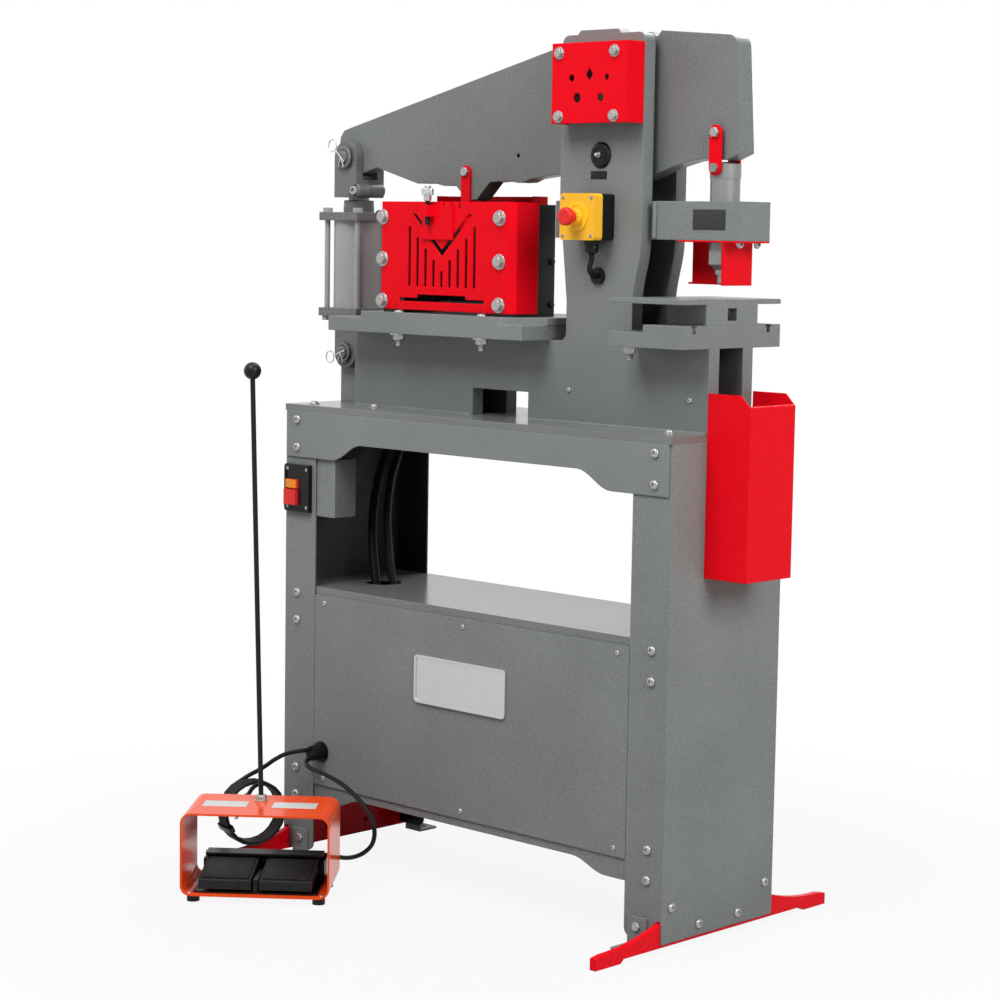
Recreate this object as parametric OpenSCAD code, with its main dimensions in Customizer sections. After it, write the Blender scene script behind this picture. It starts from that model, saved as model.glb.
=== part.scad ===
// Hydraulic ironworker on a sheet-steel stand, with a foot pedal.
// X runs along the table, Y from front to back, Z up from the floor.
// The origin is on the floor, in the middle of the four anchor holes.

/* [Stand] */
// Length of the table, end to end
stand_w = 914; // [860:1:1000]
// Depth of the stand over its aprons
stand_d = 290; // [270:1:330]
// Height of the table's top above the floor
table_top = 827; // [790:1:880]
// Thickness of the table plate
table_t = 12; // [8:1:16]
// Thickness of the stand's sheet steel
sheet = 3; // [2:0.5:4]
// Width of the flanges on the end panels
flange_w = 80; // [72:1:90]
// Height of the shelf's top above the floor
shelf_top = 500; // [480:1:540]
// Length of each foot, front to back
foot_len = 592; // [560:1:660]
// Thickness of each foot plate
foot_t = 12; // [8:1:16]
// Distance that the tool bin stands out from the end panel
bin_reach = 85; // [70:1:110]
// Width of the tool bin
bin_w = 116; // [100:1:140]
// Height of the tool bin's end wall
bin_h = 277; // [220:1:320]

/* [Frame] */
// Thickness of each side plate
plate_t = 25; // [20:1:30]
// Gap between the side plates
plate_gap = 60; // [56:1:66]
// Height of the side plates' base above the table
base_h = 136; // [130:1:150]
// Height of the post above the table
post_h = 639; // [625:1:660]
// Height of the beam's pivot above the table
pivot_h = 443; // [438:1:448]
// Radius of the pivot pin
pivot_r = 20; // [16:1:22]
// Thickness of the bed and bolster plates
bed_t = 25; // [20:1:26]
// Depth of the bed and bolster plates
bed_d = 250; // [240:1:270]

/* [Beam and cylinder] */
// Thickness of the beam
beam_t = 34; // [30:1:36]
// Distance of the cylinder's axis left of the table's middle
cyl_reach = 424; // [422:1:428]
// Outer radius of the cylinder tube
tube_r = 45; // [43:0.5:46]
// Wall of the cylinder tube
tube_wall = 7; // [5:0.5:9]
// Side of the square cylinder heads
head_w = 102; // [100:1:104]
// Radius of the piston rod
piston_rod_r = 19; // [16:0.5:20]
// Radius of the cylinder's hinge pins
link_pin_r = 12.5; // [10:0.5:13.5]

/* [Punch] */
// Distance of the ram's axis right of the table's middle
ram_reach = 434; // [431:1:437]
// Radius of the ram
ram_r = 24; // [20:0.5:26]
// Width of the guide block
block_w = 74; // [70:1:80]
// Height of the guide block
block_h = 62; // [58:1:66]
// Radius of the punch
punch_r = 10; // [6:0.5:11]

/* [Shear] */
// Width of the shear guard
guard_w = 328; // [324:1:336]
// Height of the shear guard
guard_h = 187; // [184:1:190]
// Thickness of the guards' sheet
guard_t = 3; // [2:0.5:3]

/* [Pedal] */
// Width of the pedal guard
pedal_w = 255; // [248:1:280]
// Depth of the pedal guard
pedal_d = 155; // [152:1:175]
// Height of the pedal guard
pedal_h = 143; // [130:1:160]
// Length of the carry rod above the guard
carry_len = 745; // [600:5:850]
// Turn of the pedal about the vertical
pedal_turn = 41; // [38:1:44]

/* [Hidden] */

$fn = 64;
// Overrun of every cut past the face that it opens
over = 2;
// Play of a bolt in its hole, and running clearance on a radius
hole_gap = 0.3;
run_gap = 0.05;
// Gap between flat faces that slide past each other
slide_gap = 0.5;

// Stand
leg_d = stand_d - 2 * sheet;
table_low = table_top - table_t;
panel_low = 12;
flange_corner_r = 16;
leg_bolt_in = 33;
bolt_drops = [15, 65];
rail_bolt_z = [162, 112];
bolt_head_r = 8;
bolt_head_h = 5;
bolt_r = 4;
apron_tall = 83;
apron_short = 52;
apron_end_gap = 5;
apron_curve_from = 125;
apron_curve_to = 200;
rail_top = 185;
rail_low_mid = 123;
rail_low_end = 102;
shelf_lip = 85;
front_panel_low = 138;
front_panel_drop = 14;
panel_gap = 1;
panel_screw_in = 25;
panel_screw_drop = 14;
screw_r = 2.5;
screw_head_r = 4.5;
screw_head_h = 2.2;
badge_w = 219;
badge_h = 84;
badge_r = 8;
badge_x = -4;
badge_z = 369;
badge_t = 3;
tray_z = 150;
tray_w = 620;
hose_hole_r = 34;
hose_hole_in = 49;
hose_hole_x = hose_hole_in - stand_w / 2;
hose_hole_y = 100;
shelf_hole_past = 70;
shelf_hole_x = hose_hole_x + shelf_hole_past;
shelf_hole_y = -9;
cord_hole_in = 20;
cord_hole_z = 200;
cord_hole_r = 14;

// Feet and floor anchors
foot_mid_low = 6.5;
foot_pad = 60;
foot_ramp = 7;
foot_tip_h = 19;
foot_toe = 18;
foot_toe_h = 22;
foot_h = 43;
foot_inner_h = 95;
foot_step = 4;
foot_bolt_y = [-120, -50, 50, 120];
foot_bolt_z = [70, 31, 31, 70];
anchor_w = 40;
anchor_t = 4;
anchor_h = 50;
anchor_tab = 44;
anchor_in = 49;
anchor_x = stand_w / 2 - anchor_in;
anchor_bolt_z = 34;
anchor_hole_r = 6.5;
anchor_hole_out = 26;

// Tool bin
bin_wall = 2.5;
bin_back_drop = 30;
bin_drop = 230;
bin_low = table_top - bin_drop;
bin_side_rise = 19;

// Frame
gap_half = plate_gap / 2;
plate_out = gap_half + plate_t;
deck = table_top;
function on_deck(heights) = [for (h = heights) deck + h];
base_top = deck + base_h;
post_top = deck + post_h;
pivot_x = 217;
pivot_z = deck + pivot_h;
table_lip = 2;
frame_left = -371;
frame_right = stand_w / 2 - table_lip;
post_left = 127;
post_right = 307;
post_corner_r = 14;
post_cap_from = 160;
post_cap_to = 255;
post_cap_rise = 7;
post_left_low = 146;
post_slope_h = [373, 203];
post_slope_z = on_deck(post_slope_h);
post_right_low = 291;
throat_h = [305, 203];
throat_z = on_deck(throat_h);
inner_r = 14;
window_from = -70;
window_to = 62;
window_h = 46;
spacer_r = 42;

// Guide block
block_low_h = 307;
block_low = deck + block_low_h;
block_top = block_low + block_h;
block_from = 320;
block_past = 63;
block_to = ram_reach + block_past;
bar_from = 95;
guide_y = block_w / 2;

// Bed and bolster
bed_clear = 7;
bed_from = head_w / 2 + bed_clear - cyl_reach;
bed_to = 111;
pad_from = -281;
pad_to = 55;
pad_t = 12;
pad_d = bed_d;
pad_chamfer = 60;
bed_top = base_top + bed_t;
pad_top = bed_top + pad_t;
bed_bolt_x = [-196, 6];
bed_bolt_in = 12;
nut_h = 9;
big_bolt_r = 6;
big_head_r = 10.5;
big_head_h = 7;
bed_head_r = 8.5;
bed_head_h = 4;
bolster_from = 303;
bolster_past = 21;
bolster_to = ram_reach + bolster_past;
bolster_pad_before = 59;
bolster_pad_from = ram_reach - bolster_pad_before;
tslot_y = 94;
tslot_w = 8;
tslot_wide = 15;
tslot_deep = 9;
tslot_step = 4;
bolster_bolt_y = 104;
bolster_bolt_in = [27, 11];
bolster_bolt_x = [bolster_from + bolster_bolt_in[0], bolster_to - bolster_bolt_in[1]];
holder_before = 57;
holder_from = ram_reach - holder_before;
holder_w = 130;
holder_h = 33;
die_plate_t = 8;
die_slot_w = 23;
die_slot_h = 26;
die_slot_d = 20;
die_r = 18;
die_land = 0.5;
die_sink = 14;
die_plate_top = pad_top + holder_h + die_plate_t;

// Beam outline: distance from the cylinder, the table's middle or the ram, then height above the table
tail_under = [[-38, 448], [-28, 423], [-6, 413], [28, 417], [65, 427]];
beam_under = [
    [-253, 398], [-205, 398], [-188, 394], [-156, 394], [-138, 378], [-130, 370], [-105, 370],
    [-74, 400], [-32, 403], [-8, 399], [8, 400], [24, 406], [87, 413], [160, 401], [217, 395],
    [270, 401], [321, 419], [344, 426], [373, 433]];
beam_nose = [[-30, 437], [15, 434], [43, 445], [32, 611]];
beam_over = [[308, 643], [300, 633], [132, 633], [63, 619]];
tail_over = [[-9, 498], [-23, 494], [-32, 483]];
nose_past = 12;
nose_x = ram_reach + nose_past;
nose_h = 611;
nose_r = 20;
sight_hole_x = -7;
sight_hole_h = 445;
sight_hole_z = deck + sight_hole_h;
eye_gap = 1.4;
strap_bolt_x = -129;
strap_bolt_h = 418;
strap_bolt_z = deck + strap_bolt_h;
ram_bolt_in = 2;
ram_bolt_x = ram_reach - ram_bolt_in;
ram_top_bolt_h = 478;
ram_top_bolt_z = deck + ram_top_bolt_h;
ram_low_bolt_h = 422;
ram_low_bolt_z = deck + ram_low_bolt_h;

// Cylinder
cyl_x = -cyl_reach;
low_pin_h = 91;
low_pin_z = deck + low_pin_h;
top_pin_h = 445;
top_pin_z = deck + top_pin_h;
low_head_h = 157;
low_head_z = deck + low_head_h;
head_h = 15;
top_head_h = 331;
top_head_z = deck + top_head_h;
gland_r = 28;
gland_h = 11;
tie_off = 40;
tie_r = 5;
tie_nut_r = 9;
tie_nut_h = 8;
ear_half = 28;
ear_gap = 15;
ear_t = 16;
lug_play = 0.5;
lug_half = ear_gap - lug_play;
lug_to = -300;
port_r = 13;
port_len = 15;
piston_h = 30;
piston_lift = 4;
pin_out = 8;
clevis_low_h = 373;
clevis_low = deck + clevis_low_h;
clevis_solid = 32;
clevis_half = 29;
clevis_gap = 1.5;
clevis_ear_t = 16;
socket_h = 24;
pinch_r = 6;

// Ram, link straps and punch
ram_top_h = 432;
ram_top = deck + ram_top_h;
ram_collar_h = 27;
ram_collar_extra = 1;
ram_flat_y = 21.5;
crown_r = 90;
ram_low_h = 291;
ram_low = deck + ram_low_h;
strap_w = 24;
strap_t = 4;
strap_side_gap = 0.6;
strap_slot_gap = 1.2;
coupling_r = 25;
coupling_h = 22;
coupling_nose_h = 8;
coupling_nose_r = 15;
punch_low_h = 239;
punch_low = deck + punch_low_h;
punch_neck_r = 14;
punch_neck_h = 8;
stripper_before = 66;
stripper_from = ram_reach - stripper_before;
stripper_back_before = 92;
stripper_back_from = ram_reach - stripper_back_before;
stripper_past = 29;
stripper_to = ram_reach + stripper_past;
stripper_drop = 68;
stripper_lip = 10;
strip_bolt_y = 22;
strip_bolt_past = 46;
strip_bolt_x = ram_reach + strip_bolt_past;

// Shear
upright_w = 60;
guard_from = -258;
guard_front = -108;
guard_depth = 64;
guard_bend = 11;
guard_lift = 5;
upright_back = 2;
guard_x_gap = 5;
upright_chamfer = 9;
blade_h = 19;
blade_t = 19;
blade_gap = 0.3;
upper_blade_h = 52;
upper_blade_low_h = 187;
upper_blade_low = deck + upper_blade_low_h;
carrier_half_y = beam_t / 2 + slide_gap;
carrier_top_h = 366;
carrier_top = deck + carrier_top_h;
carry_strap_w = 22;
carry_strap_t = 4;
carry_strap_low_h = 283;
carry_strap_low = deck + carry_strap_low_h;
carry_strap_bolts_h = [299, 329];
carry_strap_bolts = on_deck(carry_strap_bolts_h);
guard_bolt_x = [-244, 40];
guard_bolt_h = [338, 265, 192];
guard_bolt_z = on_deck(guard_bolt_h);
sight_x = -98;
sight_step = 19.7;
sight_w = 6;
sight_count = 9;
sight_low_h = 219;
sight_low = deck + sight_low_h;
sight_mid_top_h = 252;
sight_mid_top = deck + sight_mid_top_h;
sight_rise = 19;
vee_w = 9;
vee_half = 73;
vee_rise = 73;
vee_low_h = 271;
vee_low = deck + vee_low_h;
feed_w = 205;
feed_h = 6;
feed_up = 196;
feed_z = deck + feed_up;
feed_step_w = 118;
feed_step_h = 6;
lip_d = 20;
hook_w = 5;
hook_h = 8;
hook_x = [-136, -94, -75, -55];
rear_guard_back = 70;
rear_guard_from = -245;
rear_guard_w = 238;
rear_guard_wing = 46;
rear_guard_rise = 12;
tab_w = 74;
tab_h = 59;
tab_low_h = 300;
tab_low = deck + tab_low_h;
tab_t = 4;
tab_x = -106;
tab_gap = 0.3;
screw_x = -122;
boss_w = 17;
boss_d = 15;
boss_h = 20;
thumb_shaft_r = 4;
thumb_shaft_low_h = 325;
thumb_shaft_low = deck + thumb_shaft_low_h;
thumb_shaft_h = 55;
thumb_head_r = 10.5;
thumb_head_h = 12;
thumb_lobes = 8;
thumb_lobe_r = 2.5;

// Post guard
post_guard_from = 141;
post_guard_to = 306;
post_guard_low_h = 493;
post_guard_low = deck + post_guard_low_h;
post_guard_h = 130;
post_guard_d = 40;
post_bolt_x = [157, 277];
post_bolt_h = [504, 607];
post_bolt_z = on_deck(post_bolt_h);
gauge_x = [184, 261, 197, 248];
gauge_h = [566, 566, 534, 534];
gauge_z = on_deck(gauge_h);
gauge_r = [6, 5, 8, 7];
diamond_x = 223;
diamond_h = 571;
diamond_z = deck + diamond_h;
diamond_half = 8;

// Grease cap and emergency stop
cap_r = 21.5;
cap_t = 6;
stop_x = 210;
stop_h = 342;
stop_z = deck + stop_h;
stop_w = 76;
stop_box_d = 29;
stop_cover_d = 20;
stop_corner_r = 6;
stop_wall = 3;
stop_stem_r = 9;
stop_collar_r = 12.5;
stop_collar_h = 12;
stop_head_r = 15;
stop_head_h = 13;
stop_disc_r = 24;
stop_disc_t = 1.5;
stop_travel_room = 8;
stop_gland_r = 11;
stop_gland_h = 20;
stop_gland_x = 217;
lead_r = 4.5;
grommet_r = 14;
grommet_t = 6;
stop_gland_low = stop_z - stop_w / 2 - stop_gland_h;
grommet_drop = 38;
grommet_z = stop_gland_low - grommet_drop;
stop_gland_out = 19;

// Mains switch on the left leg
switch_in = 4;
switch_from = switch_in - stand_w / 2;
switch_w = 66;
switch_drop = 194;
switch_low = table_top - switch_drop;
switch_h = 85;
switch_t = 7;
switch_enclosure_w = 48;
switch_enclosure_d = 50;
enclosure_drop = 199;
switch_enclosure_low = table_top - enclosure_drop;
switch_enclosure_h = 104;
button_inset = 20;
start_x = switch_from + button_inset;
button_seat = 1;
start_up = 50;
start_z = switch_low + start_up;
start_w = 26;
start_h = 15;
paddle_w = 32;
paddle_h = 28;
paddle_up = 26;
paddle_z = switch_low + paddle_up;
button_out = 5;
button_in = 4;
paddle_t = 7;
paddle_hinge_r = 2;

// Power unit
tank_from = -120;
tank_to = 180;
tank_d = 190;
tank_h = 176;
tank_wall = 4;
motor_x = 0;
motor_r = 74;
motor_h = 150;
motor_wall = 6;
shaft_r = 12;
fan_r = 60;
fan_h = 24;
fan_room = 40;
fan_blades = 7;
fan_blade_t = 3;
fan_hub_t = 5;
shaft_lift = 3;
valve_from = 95;
valve_w = 70;
valve_d = 80;
valve_h = 62;
hose_r = 8;
fitting_r = 11;
fitting_h = 14;
fitting_in = 27;
fitting_y = 18;

// Pedal
pedal_foot_h = 12;
pedal_foot_r = 11;
pedal_foot_in = 20;
pedal_corner_r = 18;
strap_sheet = 3.5;
pedal_plate_t = 3;
pedal_plate_in = 12;
pedal_rib_w = 8;
pedal_rib_h = 22;
rear_box_from = 132;
rear_box_d = 16;
rear_box_h = 30;
rear_cover_t = 4;
rear_cover_in = 4;
pedal_base_in = 3.5;
rear_cover_lap = 20;
treadle_in = 7;
treadle_w = 90;
treadle_front = 6;
treadle_front_low = 24;
treadle_front_h = 17;
treadle_rear_top = 55;
treadle_rear_low = 40;
hinge_y = 121;
hinge_z = 46;
hinge_r = 4;
hub_r = 8;
hub_gap = 0.6;
carry_y = 116;
carry_x = -6;
carry_r = 4.3;
carry_lean = 1.5;
carry_below = 20;
carry_nut_r = 9;
carry_nut_h = 7;
knob_r = 15;

// Cords: diameter, then the points that each one follows, chosen by hand
cord_d = 8;
cord_sides = 8;
cord_gland_len = 26;
// from the middle of the gland's seat on the cabinet's front
pedal_route = [[6, -26, -6], [7.2, -35.3, -7], [10.8, -44, -8], [16.5, -51.5, -9.5], [24, -57.2, -11.5],
    [32.7, -60.8, -13.5], [44, -62, -16], [76, -62, -20], [108, -62, -26], [136, -62, -35], [164, -63, -48],
    [190, -64, -64], [206, -65, -81], [213, -66, -102], [207.5, -67, -123], [188, -68, -141],
    [163, -69, -153], [138, -69, -159], [119, -69, -160], [101, -74, -160], [88, -87, -160], [83.5, -105, -160],
    [86.5, -118.5, -160]];
power_route = [[-6, -26, 6], [-7.2, -35.3, 6], [-10.8, -44, 5.5], [-16.5, -51.5, 4], [-24, -57.2, 1.5],
    [-32.7, -60.8, -2], [-44, -62.5, -8], [-60, -63, -17], [-75, -64, -27], [-88.5, -67, -36],
    [-98, -72, -42.5], [-105, -79, -48]];
lead_in = [58, 148, 40];
lead_straight = 15;
pedal_from = [155, -290];
estop_route = [[0, -19, -0.3], [0, -19, -6], [0, -19, -12], [-1, -21, -20], [-1, -22, -28], [0, -18, -35],
    [0, -13, -38], [0, -9.6, -38], [0, -6.3, -38]];
// Hoses: points from the cylinder and the table's top, then from the table's hole and the shelf's top,
// then in the cabinet from the top of the valve block
low_port = [[0, 67, 164], [0, 90, 164], [3, 105, 156], [10, 111, 134]];
low_drop = [[2, 110, 93], [4, 107, 33], [6, 105, -27]];
low_shelf = [[20, 84, 250], [34, 44, 190], [54, 14, 120], [72, 2, 60], [82, 0, 15], [92, 4, -30],
    [112, 14, -62]];
low_block = [[-240, 34, 25], [-150, 26, 17], [-60, 74, 19], [20, 98, 38], [78, 84, 56], [110, 54, 68],
    [120, 30, 60]];
top_port = [[0, 67, 339], [0, 92, 339], [0, 116, 325], [2, 126, 283], [2, 127, 213]];
top_drop = [[-14, 128, 113], [-16, 122, 33], [-16, 106, -27]];
top_shelf = [[-10, 78, 245], [6, 36, 185], [28, 2, 120], [46, -14, 60], [58, -18, 15], [66, -20, -30],
    [86, -18, -70]];
top_block = [[-250, 6, 12], [-150, -14, 6], [-60, -86, 8], [20, -108, 26], [78, -90, 54], [110, -54, 68],
    [120, -30, 60]];
hose_rise = 12;
coil_turns = 3.875;
coil_r = 56;
coil_pitch = 9.2;
coil_steps = 24;
coil_sides = 6;
coil_from = [-91, -86, -113];
coil_facing = 75;
coil_start = 110;
tail_r = 42;
tail_out = 17;
tail_turn = 66;
tail_steps = 6;
boot_r = 13.7;
boot_nose_r = 13;
boot_rim_r = 19;
boot_rim_t = 3;
plug_neck = 12;
plug_neck_r = 6;
plug_len = 30;
plug_r = 12;
pin_len = 16;
pin_w = 6.4;
pin_t = 1.6;
pin_off = 5.5;
earth_r = 2.4;

// Boxes, rods and sheets between two named places
module box(low, high) {
    translate(low)
        cube(high - low);
}
module rod_x(r, x0, x1, y, z) {
    translate([x0, y, z])
        rotate([0, 90, 0])
            cylinder(r = r, h = x1 - x0);
}
module rod_y(r, y0, y1, x, z) {
    translate([x, y1, z])
        rotate([90, 0, 0])
            cylinder(r = r, h = y1 - y0);
}
module rod_z(r, z0, z1, x, y) {
    translate([x, y, z0])
        cylinder(r = r, h = z1 - z0);
}
module slab_y(points, y0, y1) {
    translate([0, y1, 0])
        rotate([90, 0, 0])
            linear_extrude(y1 - y0)
                polygon(points);
}
module slab_x(points, x0, x1) {
    translate([x0, 0, 0])
        rotate([90, 0, 90])
            linear_extrude(x1 - x0)
                polygon(points);
}
module slab_z(points, z0, z1) {
    translate([0, 0, z0])
        linear_extrude(z1 - z0)
            polygon(points);
}
// Rectangle with round corners
module round_rect(w, h, r) {
    square([w - 2 * r, h], center = true);
    square([w, h - 2 * r], center = true);
    for (sx = [-1, 1], sy = [-1, 1])
        translate([sx * (w / 2 - r), sy * (h / 2 - r)])
            circle(r = r);
}
// Pill outline that stands upright between two heights
module upright_link(w, x, z0, z1) {
    translate([x - w / 2, z0])
        square([w, z1 - z0]);
    for (z = [z0, z1])
        translate([x, z])
            circle(d = w);
}
// Hexagon-head bolt: the head stands on the local +Z side of its seat
module bolt(r, head_r, head_h, shank) {
    cylinder(r = head_r, h = head_h, $fn = 6);
    translate([0, 0, -shank])
        cylinder(r = r, h = shank);
}
module round_screw(r, head_r, head_h, shank) {
    cylinder(r = head_r, h = head_h);
    translate([0, 0, -shank])
        cylinder(r = r, h = shank);
}
module facing_front(x, y, z) {
    translate([x, y, z])
        rotate([90, 0, 0])
            children();
}
module both_ends() {
    children();
    mirror([1, 0, 0])
        children();
}
module both_sides() {
    children();
    mirror([0, 1, 0])
        children();
}
function arc(cx, cy, r, from, to, n) =
    [for (i = [0:n]) let (a = from + (to - from) * i / n) [cx + r * cos(a), cy + r * sin(a)]];
// Smooth step between two points, level at both ends
function smooth_step(x0, z0, x1, z1, n) =
    [for (i = [0:n]) let (t = i / n) [x0 + (x1 - x0) * t, z0 + (z1 - z0) * (1 - cos(180 * t)) / 2]];
function mirrored(points) = [for (i = [len(points) - 1:-1:0]) [-points[i][0], points[i][1]]];

// Tube swept along points: each ring stands square to the route there
function unit(v) = v / norm(v);
function along(p, i) = unit(p[min(i + 1, len(p) - 1)] - p[max(i - 1, 0)]);
function side_of(t) = unit(cross(t, abs(t[2]) < 0.9 ? [0, 0, 1] : [0, 1, 0]));
function carried(p, i) = i == 0 ? side_of(along(p, 0)) :
    let (s = carried(p, i - 1), t = along(p, i)) unit(s - t * (s * t));
function ring(p, i, r, sides) =
    let (t = along(p, i), s = carried(p, i), u = cross(t, s))
    [for (k = [0:sides - 1]) p[i] + r * (cos(360 * k / sides) * s + sin(360 * k / sides) * u)];
module swept_tube(p, r, sides) {
    n = len(p);
    points = [for (i = [0:n - 1]) each ring(p, i, r, sides)];
    walls = [for (i = [0:n - 2], k = [0:sides - 1]) let (m = (k + 1) % sides) each [
        [i * sides + k, i * sides + m, (i + 1) * sides + k],
        [i * sides + m, (i + 1) * sides + m, (i + 1) * sides + k]]];
    start = [for (k = [1:sides - 2]) [0, k + 1, k]];
    last = (n - 1) * sides;
    end = [for (k = [1:sides - 2]) [last, last + k, last + k + 1]];
    polyhedron(points = points, faces = concat(walls, start, end));
}
// Points between the chosen ones, on a curve through them all
function between(a, b, c, d, t) = 0.5 * (2 * b + (c - a) * t + (2 * a - 5 * b + 4 * c - d) * t * t
    + (3 * b - a - 3 * c + d) * t * t * t);
function eased(p, steps) = concat([for (i = [0:len(p) - 2], k = [0:steps - 1])
    between(p[max(i - 1, 0)], p[i], p[i + 1], p[min(i + 2, len(p) - 1)], k / steps)], [p[len(p) - 1]]);

// Stand
leg_bolt_z = concat([for (d = bolt_drops) table_low - d], [for (d = bolt_drops) shelf_top - d], rail_bolt_z);
leg_bolt_x = stand_w / 2 - leg_bolt_in;
leg_front = leg_d / 2;
module leg_bolt_holes() {
    for (z = leg_bolt_z)
        rod_y(bolt_r + hole_gap, -stand_d / 2 - over, stand_d / 2 + over, leg_bolt_x, z);
}
module foot_bolt_holes() {
    for (i = [0:len(foot_bolt_y) - 1])
        rod_x(bolt_r + hole_gap, stand_w / 2 - sheet - foot_t - over, stand_w / 2 + over, foot_bolt_y[i],
            foot_bolt_z[i]);
}
module anchor_bolt_holes() {
    rod_y(bolt_r + hole_gap, -leg_front - anchor_t - over, leg_front + anchor_t + over, anchor_x,
        anchor_bolt_z);
}
module leg_flange() {
    x1 = stand_w / 2;
    x0 = x1 - flange_w;
    r = flange_corner_r;
    slab_y(concat([[x1, panel_low]], [[x1, table_low], [x0, table_low]],
        arc(x0 + r, panel_low + r, r, 180, 270, 8)), -leg_front, -leg_front + sheet);
}
module end_panel() {
    difference() {
        union() {
            box([stand_w / 2 - sheet, -leg_front, panel_low], [stand_w / 2, leg_front, table_low]);
            both_sides()
                leg_flange();
        }
        leg_bolt_holes();
        foot_bolt_holes();
        anchor_bolt_holes();
        box([stand_w / 2 - sheet - foot_t - slide_gap, -leg_front - over, panel_low - over],
            [stand_w / 2 - sheet, leg_front + over, foot_h + foot_step + over]);
    }
}
module end_panels() {
    color("dimgray")
        both_ends()
            end_panel();
}
foot_half = foot_len / 2;
foot_root = leg_front + foot_step;
foot_curve = [for (i = [0:8]) let (t = i / 8)
    [foot_half - foot_toe + (foot_root - foot_half + foot_toe) * t,
    foot_toe_h + (foot_h - foot_toe_h) * t * t]];
foot_side = concat([[0, foot_mid_low], [foot_half - foot_pad - foot_ramp, foot_mid_low],
    [foot_half - foot_pad, 0], [foot_half, 0], [foot_half, foot_tip_h]], foot_curve,
    [[leg_front - foot_step, foot_h + foot_step], [leg_front - foot_step, foot_inner_h], [0, foot_inner_h]]);
module feet() {
    color("firebrick")
        both_ends()
            difference() {
                slab_x(concat(foot_side, mirrored(foot_side)), stand_w / 2 - sheet - foot_t,
                    stand_w / 2 - sheet);
                foot_bolt_holes();
            }
}
module anchor_brackets() {
    x0 = anchor_x - anchor_w / 2;
    x1 = anchor_x + anchor_w / 2;
    y1 = -leg_front;
    color("gray")
        both_ends()
            both_sides()
                difference() {
                    union() {
                        box([x0, y1 - anchor_t, 0], [x1, y1, anchor_h]);
                        box([x0, y1 - anchor_tab, 0], [x1, y1 - anchor_t, anchor_t]);
                    }
                    anchor_bolt_holes();
                    rod_z(anchor_hole_r, -over, anchor_t + over, anchor_x, y1 - anchor_hole_out);
                }
}
module table_plate() {
    color("dimgray")
        difference() {
            box([-stand_w / 2, -stand_d / 2, table_low], [stand_w / 2, stand_d / 2, table_top]);
            rod_z(hose_hole_r, table_low - over, table_top + over, hose_hole_x, hose_hole_y);
        }
}
apron_half = stand_w / 2 - apron_end_gap;
apron_side = concat([[apron_half, table_low], [apron_half, table_low - apron_tall]],
    smooth_step(stand_w / 2 - apron_curve_from, table_low - apron_tall, stand_w / 2 - apron_curve_to,
        table_low - apron_short, 8));
rail_half = stand_w / 2 - sheet - panel_gap;
rail_side = concat([[rail_half, rail_top], [rail_half, rail_low_end]],
    smooth_step(stand_w / 2 - apron_curve_from, rail_low_end, stand_w / 2 - apron_curve_to, rail_low_mid, 8));
rail_y = leg_front - sheet;
module stand_rails() {
    color("dimgray") {
        both_sides()
            difference() {
                union() {
                    slab_y(concat(apron_side, mirrored(apron_side)), -stand_d / 2, -leg_front);
                    slab_y(concat(rail_side, mirrored(rail_side)), -rail_y, -rail_y + sheet);
                }
                both_ends()
                    leg_bolt_holes();
                panel_screw_holes();
            }
        box([-tray_w / 2, -rail_y + sheet, tray_z], [tray_w / 2, rail_y - sheet, tray_z + sheet]);
    }
}
module shelf() {
    color("dimgray")
        difference() {
            union() {
                box([-rail_half, -rail_y, shelf_top - sheet], [rail_half, rail_y, shelf_top]);
                both_sides()
                    box([-rail_half, -rail_y, shelf_top - shelf_lip],
                        [rail_half, -rail_y + sheet, shelf_top - sheet]);
            }
            both_ends()
                leg_bolt_holes();
            panel_screw_holes();
            rod_z(hose_hole_r, shelf_top - sheet - over, shelf_top + over, shelf_hole_x, shelf_hole_y);
        }
}
panel_half = stand_w / 2 - flange_w - panel_gap;
cord_hole_x = cord_hole_in - panel_half;
panel_top = shelf_top - front_panel_drop;
panel_screw_x = [panel_screw_in - panel_half, 0, panel_half - panel_screw_in];
panel_screw_z = [panel_top - panel_screw_drop, front_panel_low + panel_screw_drop];
module panel_screw_holes() {
    for (x = panel_screw_x, z = panel_screw_z)
        rod_y(screw_r + hole_gap, -leg_front - over, leg_front + over, x, z);
}
module cabinet_panels() {
    color("dimgray")
        for (s = [-1, 1])
            difference() {
                box([-panel_half, s < 0 ? -leg_front : rail_y, front_panel_low],
                    [panel_half, s < 0 ? -rail_y : leg_front, panel_top]);
                panel_screw_holes();
                if (s < 0)
                    rod_y(cord_hole_r, -leg_front - over, -rail_y + over, cord_hole_x, cord_hole_z);
            }
}
module badge_plate() {
    color("silver")
        facing_front(badge_x, -leg_front, badge_z)
            linear_extrude(badge_t)
                round_rect(badge_w, badge_h, badge_r);
}
bin_back = stand_w / 2;
module tool_bin() {
    x1 = bin_back + bin_reach;
    top = bin_low + bin_h;
    high = top + bin_side_rise;
    color("red")
        difference() {
            slab_y([[bin_back, bin_low], [x1, bin_low], [x1, top], [x1 - bin_side_rise, high],
                [bin_back, high]], -bin_w / 2, bin_w / 2);
            box([bin_back + bin_wall, -bin_w / 2 + bin_wall, bin_low + bin_wall],
                [x1 - bin_wall, bin_w / 2 - bin_wall, high + over]);
            box([bin_back - over, -bin_w / 2 + bin_wall, table_top - bin_back_drop],
                [bin_back + bin_wall + over, bin_w / 2 - bin_wall, high + over]);
        }
}

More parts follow.
